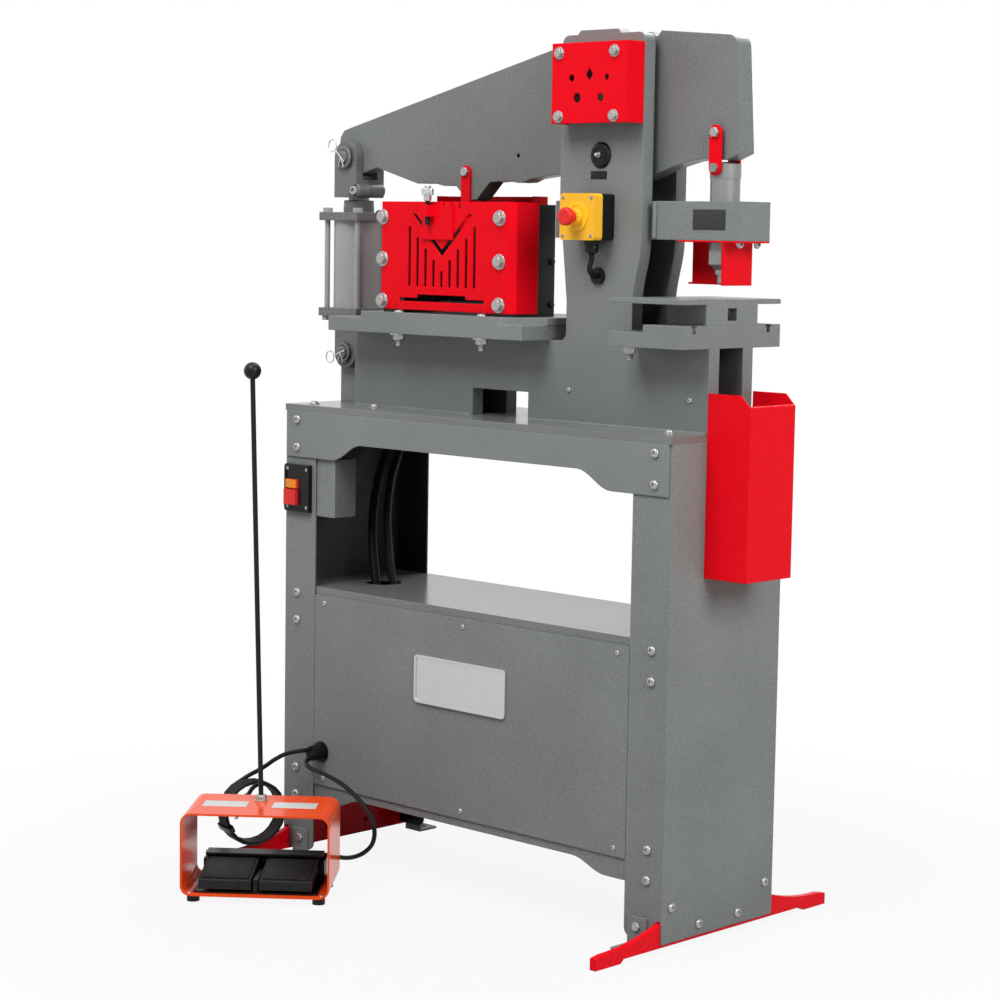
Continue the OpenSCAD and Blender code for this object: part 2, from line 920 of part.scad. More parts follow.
// Fasteners of the fixed machine
module machine_bolts() {
    color("silver") {
        both_ends()
            both_sides()
                for (i = [0:len(leg_bolt_z) - 1])
                    facing_front(leg_bolt_x, i < len(bolt_drops) ? -stand_d / 2 : -leg_front, leg_bolt_z[i])
                        round_screw(bolt_r, bolt_head_r, bolt_head_h, 3 * sheet);
        both_ends()
            both_sides()
                facing_front(anchor_x, -leg_front - anchor_t, anchor_bolt_z)
                    bolt(bolt_r, bolt_head_r, bolt_head_h, anchor_t + sheet);
        both_ends()
            for (i = [0:len(foot_bolt_y) - 1])
                translate([stand_w / 2, foot_bolt_y[i], foot_bolt_z[i]])
                    rotate([0, 90, 0])
                        round_screw(bolt_r, bolt_head_r, bolt_head_h, sheet + foot_t);
        both_sides()
            for (x = panel_screw_x, z = panel_screw_z)
                facing_front(x, -leg_front, z)
                    round_screw(screw_r, screw_head_r, screw_head_h, 2 * sheet);
        both_sides()
            for (x = bed_bolt_x)
                translate([x, bed_bolt_in - pad_d / 2, pad_top]) {
                    bolt(big_bolt_r, bed_head_r, bed_head_h, pad_t + bed_t + nut_h);
                    translate([0, 0, -pad_t - bed_t - nut_h])
                        cylinder(r = big_head_r, h = nut_h, $fn = 6);
                }
        both_sides()
            for (x = bolster_bolt_x)
                translate([x, -bolster_bolt_y, base_top])
                    mirror([0, 0, 1])
                        bolt(big_bolt_r, big_head_r, big_head_h, bed_t - over);
        for (x = guard_bolt_x, z = guard_bolt_z)
            facing_front(x, guard_front, z)
                bolt(big_bolt_r, big_head_r, big_head_h, guard_t + 2 * big_head_r);
        for (x = post_bolt_x, z = post_bolt_z)
            facing_front(x, -plate_out - post_guard_d, z)
                bolt(bolt_r, bolt_head_r, bolt_head_h, post_guard_d);
        facing_down(strip_bolt_x, strip_bolt_y, block_low - guard_t)
            bolt(bolt_r, bolt_head_r, bolt_head_h, guard_t);
        facing_down(strip_bolt_x, -strip_bolt_y, block_low - guard_t)
            bolt(bolt_r, bolt_head_r, bolt_head_h, guard_t);
    }
}
module facing_down(x, y, z) {
    translate([x, y, z])
        rotate([180, 0, 0])
            children();
}

// Power unit in the cabinet
tank_low = tray_z + sheet;
tank_top = tank_low + tank_h;
motor_top = tank_top + motor_h;
valve_top = tank_top + valve_h;
valve_x = valve_from + fitting_in;
module oil_tank() {
    color("black")
        difference() {
            box([tank_from, -tank_d / 2, tank_low], [tank_to, tank_d / 2, tank_top]);
            box([tank_from + tank_wall, -tank_d / 2 + tank_wall, tank_low + tank_wall],
                [tank_to - tank_wall, tank_d / 2 - tank_wall, tank_top - tank_wall]);
        }
    color("black") {
        box([valve_from, -valve_d / 2, tank_top], [valve_from + valve_w, valve_d / 2, valve_top]);
        for (s = [-1, 1])
            rod_z(fitting_r, valve_top, valve_top + fitting_h, valve_x, s * fitting_y);
    }
}
module pump_motor() {
    color("dimgray")
        difference() {
            rod_z(motor_r, tank_top, motor_top, motor_x, 0);
            rod_z(motor_r - motor_wall, motor_top - fan_room, motor_top + over, motor_x, 0);
            rod_z(shaft_r + run_gap, tank_top + shaft_lift, motor_top, motor_x, 0);
        }
}
module motor_shaft() {
    fan_z = motor_top - fan_room + shaft_lift;
    color("silver") {
        rod_z(shaft_r, tank_top + 2 * shaft_lift, fan_z + fan_h, motor_x, 0);
        rod_z(fan_r, fan_z, fan_z + fan_hub_t, motor_x, 0);
        for (i = [0:fan_blades - 1])
            translate([motor_x, 0, fan_z])
                rotate([0, 0, 360 * i / fan_blades])
                    translate([shaft_r - over, -fan_blade_t / 2, fan_hub_t / 2])
                        cube([fan_r - shaft_r - over, fan_blade_t, fan_h - fan_hub_t]);
    }
}
function hose_route(port, drop, mid, block, y) = concat([for (p = port) p + [cyl_x, 0, deck]],
    [for (p = drop) p + [hose_hole_x, 0, deck]], [for (p = mid) p + [hose_hole_x, 0, shelf_top]],
    [for (p = block) p + [0, 0, valve_top]],
    [for (k = [2, 1, 0]) [valve_x, y, valve_top + fitting_h + k * hose_rise]]);
module hydraulic_hoses() {
    color("black") {
        swept_tube(eased(hose_route(low_port, low_drop, low_shelf, low_block, fitting_y), 2), hose_r, 8);
        swept_tube(eased(hose_route(top_port, top_drop, top_shelf, top_block, -fitting_y), 2), hose_r, 8);
    }
}

// Frame
post_right_curve = smooth_step(throat_z[1], post_right_low, throat_z[0], post_right, 8);
frame_outline = concat(
    [[frame_left, deck], [window_from, deck], [window_from, deck + window_h], [window_to, deck + window_h],
        [window_to, deck], [frame_right, deck], [frame_right, base_top]],
    arc(post_right_low + inner_r, base_top + inner_r, inner_r, 270, 180, 6),
    [for (p = post_right_curve) [p[1], p[0]]],
    arc(post_right - post_corner_r, post_top - post_corner_r, post_corner_r, 0, 90, 6),
    [[post_cap_to, post_top], [post_cap_to - post_cap_rise, post_top + post_cap_rise],
        [post_cap_from + post_cap_rise, post_top + post_cap_rise], [post_cap_from, post_top]],
    arc(post_left + post_corner_r, post_top - post_corner_r, post_corner_r, 90, 180, 6),
    [[post_left, post_slope_z[0]], [post_left_low, post_slope_z[1]]],
    arc(post_left_low - inner_r, base_top + inner_r, inner_r, 0, -90, 6),
    [[frame_left, base_top]]);
module side_plate() {
    difference() {
        slab_y(frame_outline, -plate_out, -gap_half);
        rod_y(pivot_r + run_gap, -plate_out - over, -gap_half + over, pivot_x, pivot_z);
        for (x = post_bolt_x, z = post_bolt_z)
            rod_y(bolt_r + hole_gap, -plate_out - over, -gap_half + over, x, z);
    }
}
module front_side_plate() {
    color("dimgray")
        side_plate();
}
module rear_side_plate() {
    color("dimgray")
        mirror([0, 1, 0])
            side_plate();
}
module guide_block() {
    color("dimgray")
        difference() {
            union() {
                box([bar_from, -gap_half, block_low], [block_from, gap_half, block_top]);
                box([block_from, -guide_y, block_low], [block_to, guide_y, block_top]);
            }
            rod_z(ram_r + run_gap, block_low - over, block_top + over, ram_reach, 0);
        }
}
module bolster_plate() {
    color("dimgray")
        difference() {
            union() {
                box([bolster_from, -bed_d / 2, base_top], [bolster_to, bed_d / 2, bed_top]);
                box([bolster_pad_from, -bed_d / 2, bed_top], [bolster_to, bed_d / 2, pad_top]);
            }
            for (s = [-1, 1]) {
                box([bolster_pad_from - over, s * tslot_y - tslot_w / 2, pad_top - tslot_deep - tslot_step],
                    [bolster_to + over, s * tslot_y + tslot_w / 2, pad_top + over]);
                box([bolster_pad_from - over, s * tslot_y - tslot_wide / 2, pad_top - tslot_step],
                    [bolster_to + over, s * tslot_y + tslot_wide / 2, pad_top + over]);
            }
            for (x = bolster_bolt_x, s = [-1, 1])
                rod_z(big_bolt_r + hole_gap, base_top - over, bed_top, x, s * bolster_bolt_y);
        }
}
holder_top = pad_top + holder_h;
module die_holder() {
    color("dimgray")
        difference() {
            union() {
                box([holder_from, -holder_w / 2, pad_top], [bolster_to, holder_w / 2, holder_top]);
                box([bolster_from, -bed_d / 2, holder_top], [bolster_to, bed_d / 2, die_plate_top]);
            }
            rod_z(die_r + run_gap, die_plate_top - die_sink, die_plate_top + over, ram_reach, 0);
            rod_z(punch_r + over, pad_top - over, die_plate_top, ram_reach, 0);
            box([bolster_to - die_slot_d, -die_slot_w / 2, holder_top - die_slot_h],
                [bolster_to + over, die_slot_w / 2, die_plate_top - die_sink]);
        }
}
module die() {
    color("silver")
        difference() {
            rod_z(die_r, die_plate_top - die_sink, die_plate_top, ram_reach, 0);
            rod_z(punch_r + die_land, die_plate_top - die_sink - over, die_plate_top + over, ram_reach, 0);
        }
}
module shear_bed() {
    color("dimgray")
        difference() {
            union() {
                box([bed_from, -bed_d / 2, base_top], [bed_to, bed_d / 2, bed_top]);
                slab_z([[pad_from, -pad_d / 2], [pad_to, -pad_d / 2],
                    [pad_to + pad_chamfer - over, -pad_d / 2 + pad_chamfer],
                    [pad_to + pad_chamfer - over, pad_d / 2 - pad_chamfer], [pad_to, pad_d / 2],
                    [pad_from, pad_d / 2]], bed_top, pad_top);
            }
            for (x = bed_bolt_x, s = [-1, 1])
                rod_z(big_bolt_r + hole_gap, base_top - over, pad_top + over, x, s * (pad_d / 2 - bed_bolt_in));
        }
}

// Shear head
guard_to = guard_from + guard_w;
guard_low = pad_top + guard_lift;
guard_top = guard_low + guard_h;
upright_front = guard_front + guard_t;
left_upright = guard_from + guard_x_gap;
right_upright = guard_to - guard_x_gap;
carrier_from = left_upright + upright_w + slide_gap;
carrier_to = right_upright - upright_w - slide_gap;
module guard_bolt_holes(r) {
    for (x = guard_bolt_x, z = guard_bolt_z)
        rod_y(r, guard_front - over, upright_front + 2 * big_head_r, x, z);
}
module shear_housing() {
    color("darkslategray")
        difference() {
            union() {
                for (s = [0, 1])
                    slab_z(s == 0 ? [[left_upright, upright_back], [left_upright,
                        upright_front + upright_chamfer],
                            [left_upright + upright_chamfer, upright_front],
                            [left_upright + upright_w, upright_front], [left_upright + upright_w, upright_back]]
                        : [[right_upright, upright_back], [right_upright - upright_w, upright_back],
                            [right_upright - upright_w, upright_front], [right_upright - upright_chamfer,
                            upright_front],
                            [right_upright, upright_front + upright_chamfer]], pad_top, guard_top - guard_t);
            }
            guard_bolt_holes(big_bolt_r + hole_gap);
        }
}
module lower_blade() {
    color("silver")
        box([carrier_from, -blade_t - blade_gap, pad_top], [carrier_to, -blade_gap, pad_top + blade_h]);
}
// Wall bent in plan along the front or back of the shear, with a lip along its top
module bent_guard(x0, x1, front, side_back, low, high, bend) {
    t = guard_t;
    outer = [[x0, side_back], [x0, front + bend], [x0 + bend, front], [x1 - bend, front], [x1, front + bend],
        [x1, side_back]];
    k = t * tan(22.5);
    inner = [[x1 - t, side_back], [x1 - t, front + bend + k], [x1 - bend - k, front + t],
        [x0 + bend + k, front + t], [x0 + t, front + bend + k], [x0 + t, side_back]];
    slab_z(concat(outer, inner), low, high);
}
module sight_slots() {
    half = floor(sight_count / 2);
    for (i = [-half:half])
        let (top = sight_mid_top + sight_rise * abs(i), x = sight_x + sight_step * i)
            box([x - sight_w / 2, guard_front - over, sight_low],
                [x + sight_w / 2, upright_front + over, top - sight_w]);
}
module vee_slot() {
    x = sight_x;
    slab_y([[x, vee_low], [x + vee_half, vee_low + vee_rise], [x + vee_half - vee_w, vee_low + vee_rise],
        [x, vee_low + vee_w * 1.4], [x - vee_half + vee_w, vee_low + vee_rise],
        [x - vee_half, vee_low + vee_rise]], guard_front - over, upright_front + over);
}
module shear_guards() {
    color("red")
        difference() {
            union() {
                bent_guard(guard_from, guard_to, guard_front, guard_front + guard_depth, guard_low,
                    guard_top, guard_bend);
                box([guard_from + guard_bend, upright_front, guard_top - guard_t],
                    [guard_to - guard_bend, upright_front + lip_d, guard_top]);
            }
            guard_bolt_holes(big_bolt_r + hole_gap);
            sight_slots();
            vee_slot();
            box([sight_x - feed_w / 2, guard_front - over, feed_z - feed_h / 2],
                [sight_x + feed_w / 2, upright_front + over, feed_z + feed_h / 2]);
            box([sight_x - feed_step_w / 2, guard_front - over, feed_z],
                [sight_x + feed_step_w / 2, upright_front + over, feed_z + feed_h / 2 + feed_step_h]);
            for (x = hook_x)
                box([x - hook_w / 2, guard_front - over, guard_top - guard_t - hook_h],
                    [x + hook_w / 2, upright_front, guard_top - guard_t]);
        }
    color("red")
        mirror([0, 1, 0])
            bent_guard(rear_guard_from, rear_guard_from + rear_guard_w, -rear_guard_back,
                rear_guard_wing - rear_guard_back, pad_top, guard_top + rear_guard_rise, guard_bend);
}
module blade_carrier() {
    y = carrier_half_y;
    color("slategray") {
        box([carrier_from, -y, upper_blade_low + upper_blade_h], [carrier_to, y, carrier_top]);
        box([carrier_from, blade_gap, upper_blade_low], [carrier_to, y, upper_blade_low + upper_blade_h]);
    }
}
module carrier_strap() {
    y = carrier_half_y;
    difference() {
        translate([0, -y, 0])
            rotate([90, 0, 0])
                linear_extrude(carry_strap_t)
                    upright_link(carry_strap_w, strap_bolt_x, carry_strap_low, strap_bolt_z);
        for (dz = [-1, 1])
            rod_y(bolt_r + strap_slot_gap, -y - carry_strap_t - over, -y + over, strap_bolt_x,
                strap_bolt_z + dz * strap_slot_gap);
    }
}
module carrier_straps() {
    color("red")
        both_sides() {
            carrier_strap();
            for (z = carry_strap_bolts)
                facing_front(strap_bolt_x, -carrier_half_y - carry_strap_t, z)
                    cylinder(r = bolt_head_r, h = bolt_head_h, $fn = 6);
        }
}
tab_back = guard_front - tab_gap;
screw_y = tab_back - tab_t - boss_d / 2;
module hold_down() {
    color("red")
        difference() {
            union() {
                box([tab_x - tab_w / 2, tab_back - tab_t, tab_low], [tab_x + tab_w / 2, tab_back,
                    tab_low + tab_h]);
                box([screw_x - boss_w / 2, tab_back - tab_t - boss_d, tab_low + tab_h - boss_h],
                    [screw_x + boss_w / 2, tab_back - tab_t, tab_low + tab_h]);
            }
            rod_z(thumb_shaft_r + run_gap, tab_low, tab_low + tab_h + over, screw_x, screw_y);
        }
}
module thumbscrew() {
    head_z = thumb_shaft_low + thumb_shaft_h;
    color("silver") {
        rod_z(thumb_shaft_r, thumb_shaft_low, head_z, screw_x, screw_y);
        rod_z(thumb_head_r - thumb_lobe_r / 2, head_z, head_z + thumb_head_h, screw_x, screw_y);
        for (i = [0:thumb_lobes - 1])
            translate([screw_x, screw_y, 0])
                rotate([0, 0, 360 * i / thumb_lobes])
                    rod_z(thumb_lobe_r, head_z, head_z + thumb_head_h, thumb_head_r - thumb_lobe_r, 0);
    }
}
module post_guard() {
    y0 = -plate_out - post_guard_d;
    x0 = post_guard_from;
    x1 = post_guard_to;
    z1 = post_guard_low + post_guard_h;
    color("red")
        difference() {
            box([x0, y0, post_guard_low], [x1, -plate_out, z1]);
            box([x0 + guard_t, y0 + guard_t, post_guard_low - over], [x1 - guard_t, -plate_out + over,
                z1 - guard_t]);
            for (x = post_bolt_x, z = post_bolt_z)
                rod_y(bolt_r + hole_gap, y0 - over, y0 + guard_t + over, x, z);
            for (i = [0:len(gauge_x) - 1])
                rod_y(gauge_r[i], y0 - over, y0 + guard_t + over, gauge_x[i], gauge_z[i]);
            slab_y([[diamond_x - diamond_half, diamond_z], [diamond_x, diamond_z - 1.4 * diamond_half],
                [diamond_x + diamond_half, diamond_z], [diamond_x, diamond_z + 1.4 * diamond_half]],
                y0 - over, y0 + guard_t + over);
        }
}

// Pins, caps and controls on the frame
module hinge_pins() {
    color("silver") {
        rod_y(pivot_r, -plate_out, plate_out, pivot_x, pivot_z);
        both_sides()
            difference() {
                rod_y(spacer_r, -gap_half + hole_gap, -beam_t / 2 - hole_gap, pivot_x, pivot_z);
                rod_y(pivot_r + run_gap, -gap_half - over, 0, pivot_x, pivot_z);
            }
        rod_y(link_pin_r, -ear_gap - ear_t - pin_out, ear_gap + ear_t + pin_out, cyl_x, low_pin_z);
    }
}
module grease_cap() {
    color("black")
        both_sides()
            facing_front(pivot_x, -plate_out, pivot_z)
                rotate_extrude()
                    polygon(concat([[0, 0], [cap_r, 0]], arc(cap_r - cap_t, 0, cap_t, 0, 75, 6),
                        [[0, cap_t]]));
}
module estop_shell(front, depth) {
    facing_front(stop_x, front + depth, stop_z)
        linear_extrude(depth)
            round_rect(stop_w, stop_w, stop_corner_r);
}
stop_box_front = -plate_out - stop_box_d;
stop_front = stop_box_front - stop_cover_d;
module estop_body() {
    color("black")
        union() {
            difference() {
                estop_shell(stop_box_front, stop_box_d);
                box([stop_x - stop_w / 2 + stop_wall, stop_box_front - over, stop_z - stop_w / 2 + stop_wall],
                    [stop_x + stop_w / 2 - stop_wall, -plate_out - stop_wall, stop_z + stop_w / 2 - stop_wall]);
            }
            rod_z(stop_gland_r, stop_gland_low, stop_z - stop_w / 2, stop_gland_x, -plate_out - stop_gland_out);
            rod_y(grommet_r, -plate_out - grommet_t, -plate_out, stop_gland_x, grommet_z);
        }
}
module estop_cover() {
    color("gold")
        difference() {
            union() {
                estop_shell(stop_front, stop_cover_d);
                rod_y(stop_disc_r, stop_front - stop_disc_t, stop_front, stop_x, stop_z);
                rod_y(stop_collar_r, stop_front - stop_collar_h, stop_front - stop_disc_t, stop_x, stop_z);
            }
            rod_y(stop_stem_r + run_gap, stop_front - stop_collar_h - over, stop_box_front + over, stop_x,
                stop_z);
        }
}
module estop_button() {
    y1 = stop_front - stop_collar_h - stop_travel_room;
    color("red") {
        rod_y(stop_stem_r, y1, stop_front + stop_cover_d - stop_wall, stop_x, stop_z);
        facing_front(stop_x, y1, stop_z)
            rotate_extrude()
                polygon(concat([[0, 0], [stop_head_r - over, 0], [stop_head_r, over]],
                    arc(stop_head_r - over * 2, stop_head_h - over * 2, over * 2, 0, 90, 6), [[0,
                        stop_head_h]]));
    }
}
module estop_lead() {
    color("black")
        swept_tube(eased([for (p = estop_route) p + [stop_gland_x, -plate_out, stop_gland_low]], 2), lead_r, 8);
}
leg_face = -leg_front;
switch_front = leg_face - switch_t;
module switch_plate() {
    color("black")
        difference() {
            box([switch_from, switch_front, switch_low], [switch_from + switch_w, leg_face,
                switch_low + switch_h]);
            box([start_x - start_w / 2 - slide_gap, switch_front - over, start_z - start_h / 2 - slide_gap],
                [start_x + start_w / 2 + slide_gap, switch_front + button_in + slide_gap,
                    start_z + start_h / 2 + slide_gap]);
            box([start_x - paddle_w / 2 - slide_gap, switch_front - over, paddle_z - paddle_h / 2 - slide_gap],
                [start_x + paddle_w / 2 + slide_gap, switch_front + button_in + slide_gap,
                    paddle_z + paddle_h / 2 + slide_gap]);
        }
}
module switch_housings() {
    estop_body();
    switch_plate();
}
module switch_enclosure() {
    color("dimgray")
        box([-stand_w / 2 + sheet, -rail_y, switch_enclosure_low],
            [-stand_w / 2 + flange_w + switch_enclosure_w, -rail_y + switch_enclosure_d,
                switch_enclosure_low + switch_enclosure_h]);
}
module start_button() {
    color("orange")
        box([start_x - start_w / 2, switch_front - button_out, start_z - start_h / 2],
            [start_x + start_w / 2, switch_front + button_seat, start_z + start_h / 2]);
}
module stop_paddle() {
    color("red") {
        box([start_x - paddle_w / 2, switch_front - paddle_t, paddle_z - paddle_h / 2],
            [start_x + paddle_w / 2, switch_front + button_seat, paddle_z + paddle_h / 2]);
        rod_x(paddle_hinge_r, start_x - paddle_w / 2, start_x + paddle_w / 2, switch_front,
            paddle_z + paddle_h / 2 - paddle_hinge_r);
    }
}

// Beam and cylinder
function above_deck(points, x) = [for (p = points) [x + p[0], deck + p[1]]];
beam_outline = concat(above_deck(tail_under, cyl_x), above_deck(beam_under, 0), above_deck(beam_nose,
    ram_reach),
    arc(nose_x, deck + nose_h, nose_r, 0, 90, 6), above_deck(beam_over, 0), above_deck(tail_over, cyl_x));
module beam() {
    color("dimgray")
        difference() {
            slab_y(beam_outline, -beam_t / 2, beam_t / 2);
            rod_y(pivot_r + run_gap, -beam_t, beam_t, pivot_x, pivot_z);
            rod_y(link_pin_r + eye_gap, -beam_t, beam_t, cyl_x, top_pin_z);
            rod_y(bolt_r + hole_gap, -beam_t, beam_t, strap_bolt_x, strap_bolt_z);
            rod_y(bolt_r + hole_gap, -beam_t, beam_t, ram_bolt_x, ram_top_bolt_z);
            rod_y(bolt_r, -beam_t, beam_t, sight_hole_x, sight_hole_z);
        }
}
module cross_bolt(x, z, out) {
    rod_y(bolt_r, -out, out, x, z);
    both_sides()
        facing_front(x, -out, z)
            cylinder(r = bolt_head_r, h = bolt_head_h, $fn = 6);
}
module beam_bolts() {
    color("silver") {
        cross_bolt(strap_bolt_x, strap_bolt_z, carrier_half_y + carry_strap_t + slide_gap);
        cross_bolt(ram_bolt_x, ram_top_bolt_z, ram_flat_y + strap_t + strap_side_gap + slide_gap);
    }
}
module cylinder_lug() {
    color("dimgray")
        difference() {
            union() {
                rod_y(ear_half, -lug_half, lug_half, cyl_x, low_pin_z);
                slab_y([[cyl_x - ear_half, deck], [lug_to, deck], [lug_to, low_pin_z - ear_half],
                    [cyl_x + ear_half, low_pin_z], [cyl_x - ear_half, low_pin_z]], -lug_half, lug_half);
            }
            rod_y(link_pin_r + run_gap, -lug_half - over, lug_half + over, cyl_x, low_pin_z);
        }
}
module cylinder_tube() {
    color("silver")
        difference() {
            rod_z(tube_r, low_head_z + head_h, top_head_z, cyl_x, 0);
            rod_z(tube_r - tube_wall, low_head_z, top_head_z + over, cyl_x, 0);
        }
}
module tie_holes(z0) {
    for (sx = [-1, 1], sy = [-1, 1])
        rod_z(tie_r + hole_gap, z0 - over, z0 + head_h + over, cyl_x + sx * tie_off, sy * tie_off);
}
module head_plate(z) {
    box([cyl_x - head_w / 2, -head_w / 2, z], [cyl_x + head_w / 2, head_w / 2, z + head_h]);
    rod_y(port_r, head_w / 2, head_w / 2 + port_len, cyl_x, z + head_h / 2);
}
module cylinder_heads() {
    color("gray") {
        difference() {
            union() {
                head_plate(low_head_z);
                both_sides() {
                    rod_y(ear_half, -ear_gap - ear_t, -ear_gap, cyl_x, low_pin_z);
                    box([cyl_x - ear_half, -ear_gap - ear_t, low_pin_z],
                        [cyl_x + ear_half, -ear_gap, low_head_z]);
                }
            }
            tie_holes(low_head_z);
            rod_y(link_pin_r + run_gap, -head_w, head_w, cyl_x, low_pin_z);
        }
        difference() {
            union() {
                head_plate(top_head_z);
                rod_z(gland_r, top_head_z + head_h, top_head_z + head_h + gland_h, cyl_x, 0);
            }
            tie_holes(top_head_z);
            rod_z(piston_rod_r + run_gap, top_head_z - over, top_head_z + head_h + gland_h + over, cyl_x, 0);
        }
    }
}
module tie_rods() {
    color("gainsboro")
        for (sx = [-1, 1], sy = [-1, 1])
            translate([cyl_x + sx * tie_off, sy * tie_off, 0]) {
                rod_z(tie_r, low_head_z - tie_nut_h, top_head_z + head_h + tie_nut_h, 0, 0);
                for (z = [low_head_z - tie_nut_h, top_head_z + head_h])
                    translate([0, 0, z])
                        cylinder(r = tie_nut_r, h = tie_nut_h, $fn = 6);
            }
}
piston_low = low_head_z + head_h + piston_lift;
module piston_rod() {
    color("gainsboro") {
        rod_z(piston_rod_r, piston_low, clevis_low + socket_h, cyl_x, 0);
        rod_z(tube_r - tube_wall - run_gap, piston_low, piston_low + piston_h, cyl_x, 0);
    }
}
clevis_y = beam_t / 2 + clevis_gap;
module rod_clevis() {
    out = clevis_y + clevis_ear_t;
    x0 = cyl_x - clevis_half;
    x1 = cyl_x + clevis_half;
    color("gray") {
        difference() {
            union() {
                box([x0, -out, clevis_low], [x1, out, top_pin_z]);
                rod_y(clevis_half, -out, out, cyl_x, top_pin_z);
            }
            box([x0 - over, -clevis_y, clevis_low + clevis_solid], [x1 + over, clevis_y,
                top_pin_z + 2 * clevis_half]);
            rod_z(piston_rod_r + run_gap, clevis_low - over, clevis_low + socket_h + run_gap, cyl_x, 0);
            rod_y(link_pin_r + run_gap, -out - over, out + over, cyl_x, top_pin_z);
        }
        rod_y(link_pin_r, -out - pin_out, out + pin_out, cyl_x, top_pin_z);
        facing_front(x1 - 2 * pinch_r, -out, clevis_low + 2 * pinch_r)
            cylinder(r = pinch_r, h = bolt_head_h, $fn = 6);
    }
}

// Ram, straps and punch
module ram() {
    color("silver")
        difference() {
            union() {
                rod_z(ram_r, ram_low, ram_top - ram_collar_h, ram_reach, 0);
                intersection() {
                    rod_z(ram_r + ram_collar_extra, ram_top - ram_collar_h, ram_top, ram_reach, 0);
                    translate([ram_reach, 0, ram_top - crown_r])
                        sphere(r = crown_r);
                }
            }
            both_sides()
                box([ram_reach - 2 * ram_r, -2 * ram_r, ram_top - ram_collar_h],
                    [ram_reach + 2 * ram_r, -ram_flat_y, ram_top + over]);
            rod_y(bolt_r + hole_gap, -2 * ram_r, 2 * ram_r, ram_bolt_x, ram_low_bolt_z);
        }
    color("silver")
        cross_bolt(ram_bolt_x, ram_low_bolt_z, ram_flat_y + strap_t + strap_side_gap + slide_gap);
}
module ram_strap() {
    y = ram_flat_y + strap_side_gap;
    difference() {
        translate([0, -y, 0])
            rotate([90, 0, 0])
                linear_extrude(strap_t)
                    upright_link(strap_w, ram_bolt_x, ram_low_bolt_z, ram_top_bolt_z);
        rod_y(bolt_r + run_gap, -y - strap_t - over, -y + over, ram_bolt_x, ram_low_bolt_z);
        rod_y(bolt_r + strap_slot_gap, -y - strap_t - over, -y + over, ram_bolt_x, ram_top_bolt_z);
    }
}
module ram_straps() {
    color("red")
        both_sides()
            ram_strap();
}
module punch() {
    nut_low = ram_low - coupling_h;
    nose_low = nut_low - coupling_nose_h;
    color("gray")
        translate([ram_reach, 0, 0]) {
            translate([0, 0, nut_low])
                cylinder(r = coupling_r, h = coupling_h, $fn = 6);
            translate([0, 0, nose_low])
                cylinder(r1 = coupling_nose_r, r2 = coupling_r * cos(30), h = coupling_nose_h);
            rod_z(punch_neck_r, nose_low - punch_neck_h, nose_low, 0, 0);
            rod_z(punch_r, punch_low, nose_low - punch_neck_h, 0, 0);
        }
}
module stripper() {
    t = guard_t;
    z1 = block_low;
    z0 = z1 - t - stripper_drop;
    color("red")
        difference() {
            union() {
                box([stripper_from, -guide_y, z1 - t], [block_to, guide_y, z1]);
                box([stripper_back_from, guide_y - t, z0], [stripper_to, guide_y, z1 - t]);
                box([stripper_to - t, -guide_y, z0], [stripper_to, guide_y - t, z1 - t]);
                box([stripper_back_from, guide_y - t - stripper_lip, z0],
                    [stripper_to - t, guide_y - t, z0 + t]);
            }
            rod_z(coupling_r + over, z1 - t - over, z1 + over, ram_reach, 0);
            for (s = [-1, 1])
                rod_z(bolt_r + hole_gap, z1 - t - over, z1 + over, strip_bolt_x, s * strip_bolt_y);
        }
}

// Foot pedal
pedal_x = cord_hole_x + pedal_from[0];
pedal_y = pedal_from[1] - leg_front;
function pedal_point(p) = [pedal_x + p[0] * cos(pedal_turn) - p[1] * sin(pedal_turn),
    pedal_y + p[0] * sin(pedal_turn) + p[1] * cos(pedal_turn), p[2]];
module at_pedal() {
    translate([pedal_x, pedal_y, 0])
        rotate([0, 0, pedal_turn])
            children();
}
guard_mid_z = pedal_foot_h + pedal_h / 2;
pedal_floor = pedal_foot_h + strap_sheet;
module pedal_guard() {
    color("orangered")
        at_pedal()
            difference() {
                translate([0, pedal_d, guard_mid_z])
                    rotate([90, 0, 0])
                        linear_extrude(pedal_d)
                            difference() {
                                round_rect(pedal_w, pedal_h, pedal_corner_r);
                                round_rect(pedal_w - 2 * strap_sheet, pedal_h - 2 * strap_sheet,
                                    pedal_corner_r - strap_sheet);
                            }
                rod_z(carry_r + hole_gap, guard_mid_z, pedal_foot_h + pedal_h + over, carry_x, carry_y);
            }
}
